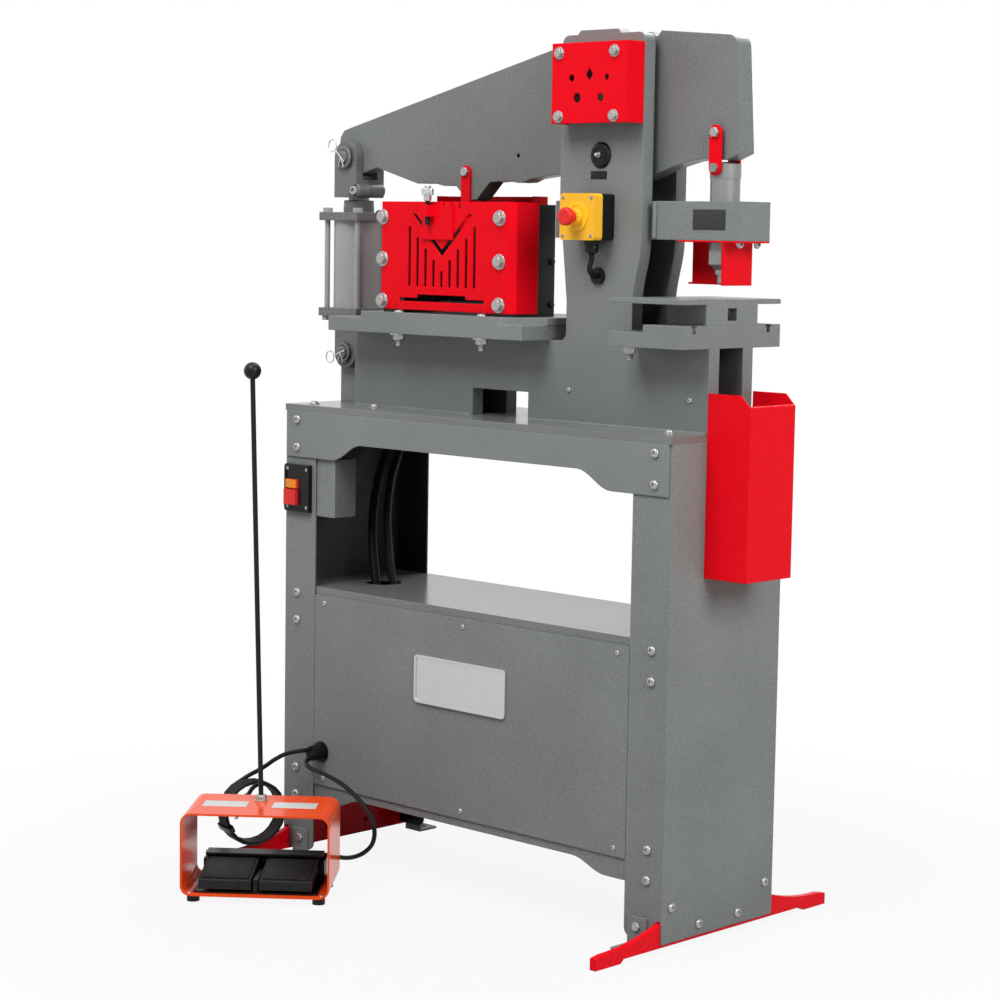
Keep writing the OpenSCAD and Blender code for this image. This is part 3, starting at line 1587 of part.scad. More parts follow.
module pedal_base() {
    half = pedal_w / 2 - pedal_corner_r - pedal_base_in;
    plate_top = pedal_floor + pedal_plate_t;
    rear_to = rear_box_from + rear_box_d;
    cover_low = plate_top + rear_box_h + hub_r;
    color("black")
        at_pedal() {
            box([-half, pedal_plate_in, pedal_floor], [half, pedal_d - over, plate_top]);
            box([-pedal_rib_w / 2, pedal_plate_in, plate_top],
                [pedal_rib_w / 2, rear_box_from, plate_top + pedal_rib_h]);
            box([-half, rear_box_from, plate_top], [half, rear_to, plate_top + rear_box_h]);
            box([rear_cover_in - half, rear_box_from - rear_cover_lap, cover_low],
                [half - rear_cover_in, rear_to, cover_low + rear_cover_t]);
            box([-half, rear_box_from + rear_box_d / 2, plate_top + rear_box_h], [half, rear_to, cover_low]);
            for (s = [-1, 1])
                let (x = s * (treadle_in + treadle_w + hub_gap + hub_r / 2))
                    box([x - hub_r / 2, hinge_y - hub_r, plate_top],
                        [x + hub_r / 2, rear_box_from, hinge_z + hinge_r]);
            rod_x(hinge_r, -treadle_in - treadle_w - hub_r, treadle_in + treadle_w + hub_r, hinge_y, hinge_z);
            for (sx = [-1, 1], y = [pedal_foot_in, pedal_d - pedal_foot_in])
                rod_z(pedal_foot_r, 0, pedal_foot_h, sx * (pedal_w / 2 - pedal_foot_in), y);
        }
}
module treadle(side) {
    x0 = side > 0 ? treadle_in : -treadle_in - treadle_w;
    color("black")
        at_pedal()
            difference() {
                union() {
                    slab_x([[treadle_front, treadle_front_low], [hinge_y - hub_r, treadle_rear_low],
                        [hinge_y, treadle_rear_low], [hinge_y, hinge_z + hub_r],
                        [hinge_y - hub_r, treadle_rear_top],
                        [treadle_front + over, treadle_front_low + treadle_front_h],
                        [treadle_front, treadle_front_low + treadle_front_h - over]], x0, x0 + treadle_w);
                    rod_x(hub_r, x0, x0 + treadle_w, hinge_y, hinge_z);
                }
                rod_x(hinge_r + run_gap, x0 - over, x0 + treadle_w + over, hinge_y, hinge_z);
            }
}
module left_treadle() {
    treadle(-1);
}
module right_treadle() {
    treadle(1);
}
module carry_rod() {
    top = pedal_foot_h + pedal_h;
    color("black")
        at_pedal()
            translate([carry_x, carry_y, top]) {
                for (z = [-strap_sheet - carry_nut_h, 0])
                    translate([0, 0, z])
                        cylinder(r = carry_nut_r, h = carry_nut_h, $fn = 6);
                rotate([0, -carry_lean, 0]) {
                    rod_z(carry_r, carry_nut_h / 2, carry_len, 0, 0);
                    translate([0, 0, carry_len])
                        sphere(r = knob_r);
                }
                rod_z(carry_r, -carry_below, carry_nut_h, 0, 0);
            }
}

// Cords: two leads out of the cabinet, and the tied coil with its plug
gland_at = [cord_hole_x, -leg_front, cord_hole_z];
module cord_gland() {
    color("black")
        translate(gland_at)
            rotate([90, 0, 0]) {
                translate([0, 0, -2 * sheet])
                    cylinder(r = boot_r, h = 2 * sheet);
                cylinder(r = boot_rim_r, h = boot_rim_t);
                translate([0, 0, boot_rim_t])
                    cylinder(r1 = boot_r, r2 = boot_nose_r, h = cord_gland_len - boot_rim_t);
            }
}
module pedal_lead() {
    color("black")
        swept_tube(eased(concat([for (p = pedal_route) gland_at + p],
            [pedal_point(lead_in + [0, lead_straight, 0]), pedal_point(lead_in)]), 2), cord_d / 2, cord_sides);
}
coil_across = [cos(coil_facing), sin(coil_facing), 0];
coil_axis = [-sin(coil_facing), cos(coil_facing), 0];
coil_up = [0, 0, 1];
function round_at(a, r) = r * (cos(a) * coil_across + sin(a) * coil_up);
coil_count = round(coil_turns * coil_steps);
coil_stop = coil_start + 360 * coil_count / coil_steps;
coil_half = coil_pitch * coil_count / coil_steps / 2;
coil_loops = [for (i = [0:coil_count]) gland_at + coil_from
    + round_at(coil_start + 360 * i / coil_steps, coil_r)
    + coil_half * (1 - 2 * i / coil_count) * coil_axis];
coil_tail = [for (i = [1:tail_steps]) gland_at + coil_from + round_at(coil_stop, coil_r - tail_r)
    + round_at(coil_stop + tail_turn * i / tail_steps, tail_r)
    - (coil_half + tail_out * i * i / tail_steps / tail_steps) * coil_axis];
coil_begin = coil_loops[0] + cord_d * unit(coil_loops[0] - coil_loops[1]);
coil_way = unit(coil_tail[tail_steps - 1] - coil_tail[tail_steps - 2]);
coil_end = coil_tail[tail_steps - 1] + cord_d * coil_way;
module power_lead() {
    color("black")
        swept_tube(eased(concat([for (p = power_route) gland_at + p],
            [coil_begin + cord_d * unit(coil_loops[0] - coil_loops[1]), coil_begin]), 2), cord_d / 2,
            cord_sides);
}
module power_coil() {
    color("black")
        swept_tube(concat([coil_begin], coil_loops, coil_tail, [coil_end]), cord_d / 2, coil_sides);
}
module power_plug() {
    color("black")
        translate(coil_end)
            rotate([0, acos(coil_way[2]), atan2(coil_way[1], coil_way[0])]) {
                cylinder(r1 = plug_neck_r, r2 = plug_r, h = plug_neck);
                translate([0, 0, plug_neck])
                    cylinder(r = plug_r, h = plug_len);
                for (s = [-1, 1])
                    translate([-pin_w / 2, s * pin_off - pin_t / 2, plug_neck + plug_len])
                        cube([pin_w, pin_t, pin_len]);
                rod_z(earth_r, plug_neck + plug_len, plug_neck + plug_len + pin_len, plug_r - earth_r * 2, 0);
            }
}

end_panels();
feet();
anchor_brackets();
table_plate();
stand_rails();
shelf();
cabinet_panels();
badge_plate();
machine_bolts();
tool_bin();
oil_tank();
pump_motor();
motor_shaft();
hydraulic_hoses();
front_side_plate();
rear_side_plate();
guide_block();
bolster_plate();
die_holder();
die();
shear_bed();
shear_housing();
lower_blade();
shear_guards();
post_guard();
hinge_pins();
grease_cap();
switch_housings();
estop_cover();
estop_button();
estop_lead();
switch_enclosure();
start_button();
stop_paddle();
cylinder_lug();
beam();
beam_bolts();
cylinder_tube();
cylinder_heads();
tie_rods();
piston_rod();
rod_clevis();
ram();
ram_straps();
punch();
stripper();
blade_carrier();
carrier_straps();
hold_down();
thumbscrew();
pedal_guard();
pedal_base();
left_treadle();
right_treadle();
carry_rod();
cord_gland();
pedal_lead();
power_lead();
power_coil();
power_plug();
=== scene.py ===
# %% [markdown]
# A hydraulic ironworker, dressed over its measured solids.
# The imported solids already have the right sizes, so this lesson never moves them. It loads them and then adds
# a camera, light, finishes and the small hardware.

# %% Load the solids
import math
import bmesh
import bpy
from mathutils import Matrix, Vector


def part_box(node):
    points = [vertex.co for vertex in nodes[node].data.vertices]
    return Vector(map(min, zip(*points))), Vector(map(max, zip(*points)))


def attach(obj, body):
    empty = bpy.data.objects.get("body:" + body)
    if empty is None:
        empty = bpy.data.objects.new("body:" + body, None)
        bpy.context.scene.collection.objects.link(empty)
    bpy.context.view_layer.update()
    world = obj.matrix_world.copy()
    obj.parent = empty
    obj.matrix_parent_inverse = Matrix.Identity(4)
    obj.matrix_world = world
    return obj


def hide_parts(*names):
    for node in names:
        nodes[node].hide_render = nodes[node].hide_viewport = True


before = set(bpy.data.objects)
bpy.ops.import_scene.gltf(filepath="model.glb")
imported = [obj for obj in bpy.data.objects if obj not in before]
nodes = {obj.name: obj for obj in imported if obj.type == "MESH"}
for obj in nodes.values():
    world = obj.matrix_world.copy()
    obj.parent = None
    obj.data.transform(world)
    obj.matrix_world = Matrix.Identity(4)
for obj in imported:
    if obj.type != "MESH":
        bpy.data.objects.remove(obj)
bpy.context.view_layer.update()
scene = bpy.context.scene

# %% [markdown]
# The camera stands at the right front corner, a little above the table, with a long lens.
# Its place was found by matching known corners of the stand with their pixels. The three axes are written
# out as a matrix, because a very small roll is easier to give that way than with Euler angles.

# %% Camera at the photograph's place
camera_at = (2.99727, -3.16794, 1.14487)
turn, tilt, roll = 0.766546, 0.106330, -0.016276
cam_data = bpy.data.cameras.new("photo_camera")
cam_data.sensor_width = 36.0
cam_data.lens = 90.965
cam_data.clip_end = 100.0
camera = bpy.data.objects.new("photo_camera", cam_data)
scene.collection.objects.link(camera)
ahead = Vector((-math.sin(turn) * math.cos(tilt), math.cos(turn) * math.cos(tilt), -math.sin(tilt)))
level = Vector((math.cos(turn), math.sin(turn), 0.0))
down = ahead.cross(level)
across = level * math.cos(roll) + down * math.sin(roll)
below = down * math.cos(roll) - level * math.sin(roll)
axes = Matrix((across, -below, -ahead)).transposed().to_4x4()
camera.matrix_world = Matrix.Translation(camera_at) @ axes
scene.camera = camera
scene.view_settings.view_transform = "Standard"
print("camera lens:", round(cam_data.lens, 2))

# %% [markdown]
# The studio is a white room with soft boxes. What the camera, a reflection or a see-through surface meets is
# plain white, but the light that reaches the object comes mostly from the boxes and only a little from the room.
# Two backgrounds are mixed for that, and the kind of ray tells which of them it meets.

# %% White room
fill_strength = 0.15
fill_colour = (0.95, 0.97, 1.0, 1.0)


def new_nodes(owner):
    owner.use_nodes = True
    tree = owner.node_tree
    tree.nodes.clear()
    return tree


def math_node(tree, way, a, b):
    node = tree.nodes.new("ShaderNodeMath")
    node.operation = way
    for socket, value in zip(node.inputs, (a, b)):
        if isinstance(value, float):
            socket.default_value = value
        else:
            tree.links.new(value, socket)
    return node.outputs[0]


def seen_directly(tree):
    path = tree.nodes.new("ShaderNodeLightPath").outputs
    mirrored = math_node(tree, "MAXIMUM", path["Is Glossy Ray"], path["Is Transmission Ray"])
    return math_node(tree, "MAXIMUM", path["Is Camera Ray"], mirrored)


def mixed(tree, share, a, b):
    mix = tree.nodes.new("ShaderNodeMixShader")
    for socket, value in zip(mix.inputs, (share, a, b)):
        tree.links.new(value, socket)
    return mix.outputs[0]


world = bpy.data.worlds.new("studio_world")
scene.world = world
tree = new_nodes(world)
white = tree.nodes.new("ShaderNodeBackground")
white.inputs["Color"].default_value = (1.0, 1.0, 1.0, 1.0)
fill = tree.nodes.new("ShaderNodeBackground")
fill.inputs["Color"].default_value = fill_colour
fill.inputs["Strength"].default_value = fill_strength
out = tree.nodes.new("ShaderNodeOutputWorld")
tree.links.new(mixed(tree, seen_directly(tree), fill.outputs[0], white.outputs[0]), out.inputs["Surface"])
print("room light:", fill_strength)

# %% [markdown]
# The floor is one wide square. Far away it is as white as the room, so that no horizon shows, and close to the
# feet it lets a soft shadow through. How white it is follows the distance from the middle of the machine.

# %% Floor
floor_half, floor_drop, floor_pale = 20.0, 0.0005, 0.5
floor_near, floor_far = 0.6, 1.5
floor_white_near, floor_white_far = 0.9, 1.0
bm = bmesh.new()
bmesh.ops.create_grid(bm, x_segments=1, y_segments=1, size=floor_half)
floor_mesh = bpy.data.meshes.new("studio_floor")
bm.to_mesh(floor_mesh)
bm.free()
floor = bpy.data.objects.new("studio_floor", floor_mesh)
floor.location.z = -floor_drop
scene.collection.objects.link(floor)
floor_paint = bpy.data.materials.new("studio_floor")
tree = new_nodes(floor_paint)
matte = tree.nodes.new("ShaderNodeBsdfDiffuse")
matte.inputs["Color"].default_value = (floor_pale, floor_pale, floor_pale, 1.0)
plain = tree.nodes.new("ShaderNodeEmission")
distance = tree.nodes.new("ShaderNodeVectorMath")
distance.operation = "LENGTH"
tree.links.new(tree.nodes.new("ShaderNodeTexCoord").outputs["Object"], distance.inputs[0])
whiteness = tree.nodes.new("ShaderNodeMapRange")
whiteness.interpolation_type = "SMOOTHSTEP"
for key, value in (("From Min", floor_near), ("From Max", floor_far), ("To Min", floor_white_near),
                   ("To Max", floor_white_far)):
    whiteness.inputs[key].default_value = value
tree.links.new(distance.outputs["Value"], whiteness.inputs["Value"])
white_share = math_node(tree, "MULTIPLY", seen_directly(tree), whiteness.outputs["Result"])
out = tree.nodes.new("ShaderNodeOutputMaterial")
tree.links.new(mixed(tree, white_share, matte.outputs[0], plain.outputs[0]), out.inputs["Surface"])
floor_mesh.materials.append(floor_paint)
print("floor side m:", 2 * floor_half)

# %% [markdown]
# Five soft boxes light the machine. Most of the light comes from the front, the right and the back, from high
# up, so that the open bay under the table stays dark. All the boxes aim at the middle of the machine.

# %% Soft boxes
lamp_aim = Vector((0.0, 0.0, 0.8))


def lamp(name, place, size, watts):
    data = bpy.data.lights.new(name, "AREA")
    data.energy = watts
    data.size = size
    obj = bpy.data.objects.new(name, data)
    scene.collection.objects.link(obj)
    obj.location = place
    obj.rotation_euler = (lamp_aim - Vector(place)).to_track_quat("-Z", "Y").to_euler()


lamp("front_box", (0.3, -2.7, 4.1), 2.2, 136.0)
lamp("right_box", (4.0, -0.5, 3.0), 2.4, 126.0)
lamp("top_box", (-0.3, -0.4, 4.6), 2.6, 26.0)
lamp("left_box", (-4.0, -1.6, 2.4), 2.2, 24.0)
lamp("rear_box", (-0.6, 2.8, 4.3), 2.2, 110.0)

# %% [markdown]
# Each piece of trim is one mesh with one finish, and rides on one body of the machine. Faces are shaded smooth,
# and edges that turn more than a set angle are marked sharp. A seat says where a piece sits: it is a matrix whose
# local Z points out of the surface.

# %% Pieces and seats
sharp_angle = math.radians(35)
nearly_upright = 0.9


def piece(name, bm, body, finish):
    bmesh.ops.recalc_face_normals(bm, faces=bm.faces)
    mesh = bpy.data.meshes.new(name)
    bm.to_mesh(mesh)
    bm.free()
    mesh.materials.append(finish)
    for face in mesh.polygons:
        face.use_smooth = True
    mesh.set_sharp_from_angle(angle=sharp_angle)
    obj = bpy.data.objects.new(name, mesh)
    scene.collection.objects.link(obj)
    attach(obj, body)
    return obj


def seat(place, way):
    z = Vector(way).normalized()
    x = z.cross(Vector((0, 0, 1)) if abs(z.z) < nearly_upright else Vector((0, 1, 0))).normalized()
    m = Matrix((x, z.cross(x), z)).transposed().to_4x4()
    m.translation = Vector(place)
    return m


print("pieces and seats ready")

# %% [markdown]
# Most trim on a machine is turned on a lathe or cut from plate. One helper revolves a profile of radius and
# height, one gives an outline a thickness with a rounded rim, and one makes a frame between two outlines. All of
# them join rings of points with faces, which is quicker than modifiers and leaves clean meshes.

# %% Turned and flat shapes
mitre_limit = 0.3
rim_angles = (math.pi / 6, math.pi / 3, math.pi / 2)


def bridged(bm, rings, closed=False):
    pairs = list(zip(rings, rings[1:])) + ([(rings[-1], rings[0])] if closed else [])
    for a, b in pairs:
        n = max(len(a), len(b))
        for k in range(n):
            corners = [a[k % len(a)], a[(k + 1) % len(a)], b[(k + 1) % len(b)], b[k % len(b)]]
            bm.faces.new(list(dict.fromkeys(corners)))


def turned(bm, profile, at, sides=24):
    rings = []
    for r, h in profile:
        spokes = sides if r > 0 else 1
        rings.append([bm.verts.new(at @ Vector((r * math.cos(2 * math.pi * k / sides),
                                                r * math.sin(2 * math.pi * k / sides), h)))
                      for k in range(spokes)])
    bridged(bm, rings)


def flat(bm, outline, at, thick, soft=0.0):
    n = len(outline)
    spin = sum(outline[i][0] * outline[(i + 1) % n][1] - outline[(i + 1) % n][0] * outline[i][1] for i in range(n))
    pts = [Vector(p) for p in (outline if spin > 0 else outline[::-1])]
    layers = [(0.0, 0.0), (0.0, thick - soft)]
    if soft > 0:
        layers += [(soft * (1 - math.cos(a)), thick - soft + soft * math.sin(a)) for a in rim_angles]

    def inset(i, d):
        e1, e2 = (pts[i] - pts[i - 1]).normalized(), (pts[(i + 1) % n] - pts[i]).normalized()
        n1 = Vector((-e1.y, e1.x))
        b = n1 + Vector((-e2.y, e2.x))
        return pts[i] + b / max(b.dot(n1), mitre_limit) * d

    rings = [[bm.verts.new(at @ Vector((*inset(i, d), h))) for i in range(n)] for d, h in layers]
    bridged(bm, rings)
    bm.faces.new(rings[0][::-1])
    bm.faces.new(rings[-1])


def frame_ring(bm, outer, inner, at, thick):
    rings = [[bm.verts.new(at @ Vector((x, y, h))) for x, y in line]
             for line, h in ((outer, 0.0), (outer, thick), (inner, thick), (inner, 0.0))]
    bridged(bm, rings, closed=True)


print("turned and flat shapes ready")

# %% [markdown]
# Wire and welds are a round section swept along points. The section turns as little as it can from point to
# point, so the tube doesn't twist, and its radius may change on the way. Plates and nuts start from three
# outlines: a rounded rectangle, a circle and a hexagon.

# %% Swept shapes and outlines
def tube(bm, points, radius, sides=8, closed=False):
    n = len(points)
    side = None
    rings = []
    for i, p in enumerate(points):
        after = points[(i + 1) % n] if closed or i < n - 1 else p
        before = points[i - 1] if closed or i > 0 else p
        way = (after - before).normalized()
        if side is None:
            side = way.orthogonal()
        side = (side - way * side.dot(way)).normalized()
        up = way.cross(side)
        r = radius[i] if isinstance(radius, list) else radius
        rings.append([bm.verts.new(p + r * (math.cos(2 * math.pi * k / sides) * side
                                            + math.sin(2 * math.pi * k / sides) * up)) for k in range(sides)])
    bridged(bm, rings, closed)
    if not closed:
        bm.faces.new(rings[0][::-1])
        bm.faces.new(rings[-1])


def rounded(w, h, r, steps=6):
    return [(cx * (w / 2 - r) + r * math.cos(a), cy * (h / 2 - r) + r * math.sin(a))
            for cx, cy, start in ((1, 1, 0), (-1, 1, 90), (-1, -1, 180), (1, -1, 270))
            for a in (math.radians(start + 90 * k / steps) for k in range(steps + 1))]


def circle(r, sides):
    return [(r * math.cos(a), r * math.sin(a)) for a in (2 * math.pi * k / sides for k in range(sides))]


def hexagon(r):
    return [(r * math.cos(math.radians(60 * k)), r * math.sin(math.radians(60 * k))) for k in range(6)]


print("swept shapes and outlines ready")

# %% [markdown]
# Every surface gets a procedural finish, and these helpers add the nodes that all of them share: the place on the
# piece, noise, a colour ramp, a mix and a change of range. The Bevel node rounds the light along the solids' sharp
# edges, and how far its normal turns from the true one tells where an edge is. The meshes stay untouched.

# %% Nodes for the finishes
edge_samples = 4
mix_share, mix_a, mix_b, mix_out = 0, 6, 7, 2


def shader(name):
    mat = bpy.data.materials.new(name)
    tree = new_nodes(mat)
    out = tree.nodes.new("ShaderNodeOutputMaterial")
    bsdf = tree.nodes.new("ShaderNodeBsdfPrincipled")
    tree.links.new(bsdf.outputs[0], out.inputs["Surface"])
    return mat, tree, bsdf


def place_of(tree, stretch=(1.0, 1.0, 1.0)):
    node = tree.nodes.new("ShaderNodeMapping")
    node.inputs["Scale"].default_value = stretch
    tree.links.new(tree.nodes.new("ShaderNodeTexCoord").outputs["Object"], node.inputs["Vector"])
    return node.outputs["Vector"]


def noise(tree, place, scale, detail, rough=0.5):
    node = tree.nodes.new("ShaderNodeTexNoise")
    for key, value in (("Scale", scale), ("Detail", detail), ("Roughness", rough)):
        node.inputs[key].default_value = value
    tree.links.new(place, node.inputs["Vector"])
    return node.outputs["Fac"]


def ramp(tree, fac, stops):
    node = tree.nodes.new("ShaderNodeValToRGB")
    for stop, (pos, colour) in zip(node.color_ramp.elements, stops):
        stop.position = pos
        stop.color = (*colour, 1.0)
    tree.links.new(fac, node.inputs["Fac"])
    return node.outputs["Color"]


def mapped(tree, value, to_low, to_high, from_low=0.0, from_high=1.0):
    node = tree.nodes.new("ShaderNodeMapRange")
    for key, number in (("From Min", from_low), ("From Max", from_high), ("To Min", to_low), ("To Max", to_high)):
        node.inputs[key].default_value = number
    tree.links.new(value, node.inputs["Value"])
    return node.outputs["Result"]


def colour_mix(tree, share, a, b):
    mix = tree.nodes.new("ShaderNodeMix")
    mix.data_type = "RGBA"
    for socket, value in ((mix_share, share), (mix_a, a), (mix_b, b)):
        tree.links.new(value, mix.inputs[socket])
    return mix.outputs[mix_out]


def dot_node(tree, a, b):
    node = tree.nodes.new("ShaderNodeVectorMath")
    node.operation = "DOT_PRODUCT"
    tree.links.new(a, node.inputs[0])
    tree.links.new(b, node.inputs[1])
    return node.outputs["Value"]


def round_edge(tree, radius):
    bevel = tree.nodes.new("ShaderNodeBevel")
    bevel.samples = edge_samples
    bevel.inputs["Radius"].default_value = radius
    true_normal = tree.nodes.new("ShaderNodeNewGeometry").outputs["Normal"]
    return bevel.outputs["Normal"], dot_node(tree, bevel.outputs["Normal"], true_normal)


def bumped(tree, height, normal, strength, depth):
    node = tree.nodes.new("ShaderNodeBump")
    node.inputs["Strength"].default_value = strength
    node.inputs["Distance"].default_value = depth
    tree.links.new(height, node.inputs["Height"])
    tree.links.new(normal, node.inputs["Normal"])
    return node.outputs["Normal"]


print("finish nodes ready")

# %% [markdown]
# The grey is a hammered enamel: fine pale flecks in the colour, the same flecks as a shallow bump, and a slow drift
# so that no panel is quite even. Along edges the colour is painted paler, a painted highlight where light would
# catch the rounded edge, and in nooks it is painted darker, a painted shade. An Ambient Occlusion node finds the
# nooks.
# Faces that look away from the middle of the machine take only a share of that painted shade. Turned metal has no
# such edges: an edge of zero leaves out the bevel and the bump.

# %% One function for most finishes
fine_detail, fine_rough = 2.0, 0.6
slow_scale, slow_detail, slow_share = 5.0, 3.0, 0.25
fleck_low, fleck_high = 0.34, 0.66
highlight_low, highlight_high = 1.35, 1.7
rough_swing, rough_low, rough_high = 0.06, 0.3, 0.7
flat_from, edge_from, dent_depth = 0.97, 0.8, 0.0004
nook_samples, outward_band = 4, 0.02


def toned(c, k):
    return tuple(min(1.0, v * k) for v in c)


def flecked(tree, tone, colour, low, high):
    return ramp(tree, tone, ((fleck_low, toned(colour, low)), (fleck_high, toned(colour, high))))


# Painted shade: an Ambient Occlusion node darkens the colour in nooks, and faces that look outward take only a share
# of it.
def painted_shade_in_nooks(tree, coat, nook_shade, reach, outside):
    nook = tree.nodes.new("ShaderNodeAmbientOcclusion")
    nook.samples = nook_samples
    nook.inputs["Distance"].default_value = reach
    tree.links.new(coat, nook.inputs["Color"])
    spot = tree.nodes.new("ShaderNodeNewGeometry").outputs
    sideways = tree.nodes.new("ShaderNodeVectorMath")
    sideways.operation = "MULTIPLY"
    sideways.inputs[1].default_value = (1.0, 1.0, 0.0)
    tree.links.new(spot["Position"], sideways.inputs[0])
    outward = dot_node(tree, sideways.outputs["Vector"], spot["True Normal"])
    share = mapped(tree, outward, nook_shade, nook_shade * outside, -outward_band, outward_band)
    return colour_mix(tree, share, coat, nook.outputs["Color"])


def finish(name, slot, colour, rough=0.4, grain=420.0, fleck=0.12, lump=0.15, edge=0.0016, edge_highlight=0.35, gloss=0.5,
           metallic=0.0, stretch=(1.0, 1.0, 1.0), nook_shade=0.0, reach=0.22, outside=1.0):
    mat, tree, bsdf = shader(name)
    bsdf.inputs["Metallic"].default_value = metallic
    bsdf.inputs["Specular IOR Level"].default_value = gloss
    fine = noise(tree, place_of(tree, stretch), grain, fine_detail, fine_rough)
    slow = noise(tree, place_of(tree), slow_scale, slow_detail)
    tone = math_node(tree, "ADD", math_node(tree, "MULTIPLY", fine, 1.0 - slow_share),
                     math_node(tree, "MULTIPLY", slow, slow_share))
    coat = flecked(tree, tone, colour, 1 - fleck, 1 + fleck)
    if edge > 0:
        normal, flatness = round_edge(tree, edge)
        # Painted highlight: where the bevel finds an edge, the colour turns toward a paler copy of the flecked
        # colour.
        highlight_share = mapped(tree, flatness, 0.0, edge_highlight, flat_from, edge_from)
        coat = colour_mix(tree, highlight_share, coat, flecked(tree, tone, colour, highlight_low, highlight_high))
        tree.links.new(bumped(tree, fine, normal, lump, dent_depth), bsdf.inputs["Normal"])
    if nook_shade > 0:
        # Painted shade: the colour is darkened in nooks.
        coat = painted_shade_in_nooks(tree, coat, nook_shade, reach, outside)
    tree.links.new(coat, bsdf.inputs["Base Color"])
    roughness = mapped(tree, fine, rough - rough_swing, rough + rough_swing, rough_low, rough_high)
    tree.links.new(roughness, bsdf.inputs["Roughness"])
    return mat


print("finish function ready")

# %% [markdown]
# The plates, the beam and the stand share one hammered coat in three tones, because the beam is a little darker in
# the photograph and the stand's coat takes a strong painted shade in its nooks, so that its open bay is nearly black
# inside. Table and shelf are smoother sheet. The casting has a coarser skin, and the red and orange coats are so
# smooth that their flecks hardly show.

# %% Enamels
# The edge share of each coat sets how much paler its edges are painted, as a painted highlight.
hammered = {"rough": 0.36, "grain": 400.0, "fleck": 0.22, "edge": 0.0024, "edge_highlight": 0.7}
plate_coat = {**hammered, "lump": 0.25, "gloss": 0.24, "nook_shade": 0.5, "outside": 0.3}
grey_enamel = finish("grey_hammered_enamel", "grey_paint", (0.210, 0.225, 0.220), **plate_coat)
beam_enamel = finish("grey_beam_enamel", "grey_paint", (0.180, 0.193, 0.188), **plate_coat)
stand_enamel = finish("grey_stand_enamel", "grey_paint", (0.238, 0.254, 0.248), **hammered, lump=0.2, gloss=0.06,
                      nook_shade=1.0, reach=0.8, outside=0.25)
sheet_enamel = finish("grey_sheet_enamel", "grey_paint", (0.172, 0.184, 0.179), rough=0.2, grain=400.0, fleck=0.2,
                      lump=0.06, edge=0.002)
cast_enamel = finish("cast_grey_enamel", "silver_paint", (0.16, 0.168, 0.164), grain=260.0, fleck=0.25, lump=0.4,
                     edge=0.0022, edge_highlight=0.5, gloss=0.3, nook_shade=0.4)
dark_enamel = finish("dark_grey_enamel", "dark_paint", (0.034, 0.037, 0.036), rough=0.42, grain=400.0, fleck=0.2,
                     lump=0.2, gloss=0.25, nook_shade=0.5)
tube_enamel = finish("pale_grey_enamel", "silver_paint", (0.34, 0.352, 0.348), rough=0.34, grain=300.0, fleck=0.05,
                     edge=0.0)
glossy = {"grain": 200.0, "fleck": 0.02, "lump": 0.015}
red_enamel = finish("red_gloss_enamel", "red_paint", (0.86, 0.003, 0.012), **glossy, rough=0.26, edge=0.0026,
                    edge_highlight=0.1, gloss=0.07)
orange_enamel = finish("orange_gloss_enamel", "orange_paint", (0.86, 0.078, 0.012), **glossy, rough=0.2, edge=0.001,
                       edge_highlight=0.12, gloss=0.1)
black_enamel = finish("black_enamel", "black_steel", (0.006, 0.006, 0.007), rough=0.34, grain=500.0, fleck=0.2,
                      lump=0.1, edge=0.001, edge_highlight=0.3, gloss=0.22)

# %% [markdown]
# Bolts are zinc plated, and the plug's pins, the wire rings and the thumbscrew's knob are brighter steel. The ram,
# the piston rod, the die and the lower blade are ground, and the punch and the bare badge are brushed, so the noise
# of these is stretched along one direction.

# %% Metals
# Bolt edges take a small painted highlight.
plated = {"grain": 600.0, "fleck": 0.14, "lump": 0.06, "edge": 0.0005, "edge_highlight": 0.2}
zinc = finish("zinc_plate", "zinc", (0.38, 0.38, 0.376), **plated, rough=0.24, metallic=0.6)
bright_steel = finish("bright_steel", "zinc", (0.5, 0.5, 0.495), **plated, rough=0.22, metallic=0.7)
ground_steel = finish("ground_steel", "steel", (0.24, 0.24, 0.24), rough=0.34, grain=60.0, fleck=0.2, edge=0.0,
                      metallic=0.3, stretch=(3.0, 3.0, 40.0))
tool_steel = finish("tool_steel", "steel", (0.26, 0.26, 0.26), rough=0.3, grain=80.0, fleck=0.2, lump=0.08,
                    edge=0.0006, edge_highlight=0.3, metallic=0.7, stretch=(20.0, 2.0, 2.0))
silver_face = finish("satin_silver", "badge", (0.56, 0.56, 0.57), rough=0.34, grain=40.0, fleck=0.06, lump=0.04,
                     edge=0.0008, edge_highlight=0.2, metallic=0.8, stretch=(1.0, 1.0, 60.0))

# %% [markdown]
# Moulded plastic has a faint grain and a soft shine, and rubber is duller. The treadles have a raised grain for
# grip; a cell texture in the bump gives that at the right scale, about two millimetres to a cell.

# %% Rubber and plastic finishes
def moulded(name, slot, colour, rough=0.38, grain=900.0, gloss=0.35):
    # Edges of moulded plastic take a faint painted highlight.
    return finish(name, slot, colour, rough, grain, fleck=0.06, lump=0.06, edge=0.0008, edge_highlight=0.15, gloss=gloss)


black_plastic = moulded("black_moulded_plastic", "black_plastic", (0.006, 0.006, 0.007), rough=0.36, gloss=0.2)
black_rubber = moulded("lead_rubber", "black_rubber", (0.0045, 0.0045, 0.005), rough=0.45, grain=1400.0, gloss=0.16)
yellow_plastic = moulded("amber_plastic", "yellow_plastic", (0.98, 0.50, 0.03), rough=0.32, gloss=0.22)
bright_yellow = moulded("yellow_ring", "yellow_plastic", (0.98, 0.58, 0.015), rough=0.35, gloss=0.22)
red_plastic = moulded("red_moulded_plastic", "red_plastic", (0.74, 0.02, 0.016), rough=0.28, gloss=0.3)
orange_plastic = moulded("orange_moulded_plastic", "orange_plastic", (0.88, 0.27, 0.012), rough=0.32)
blank_white = moulded("blank_pale_plate", "badge", (0.62, 0.62, 0.62), rough=0.4)

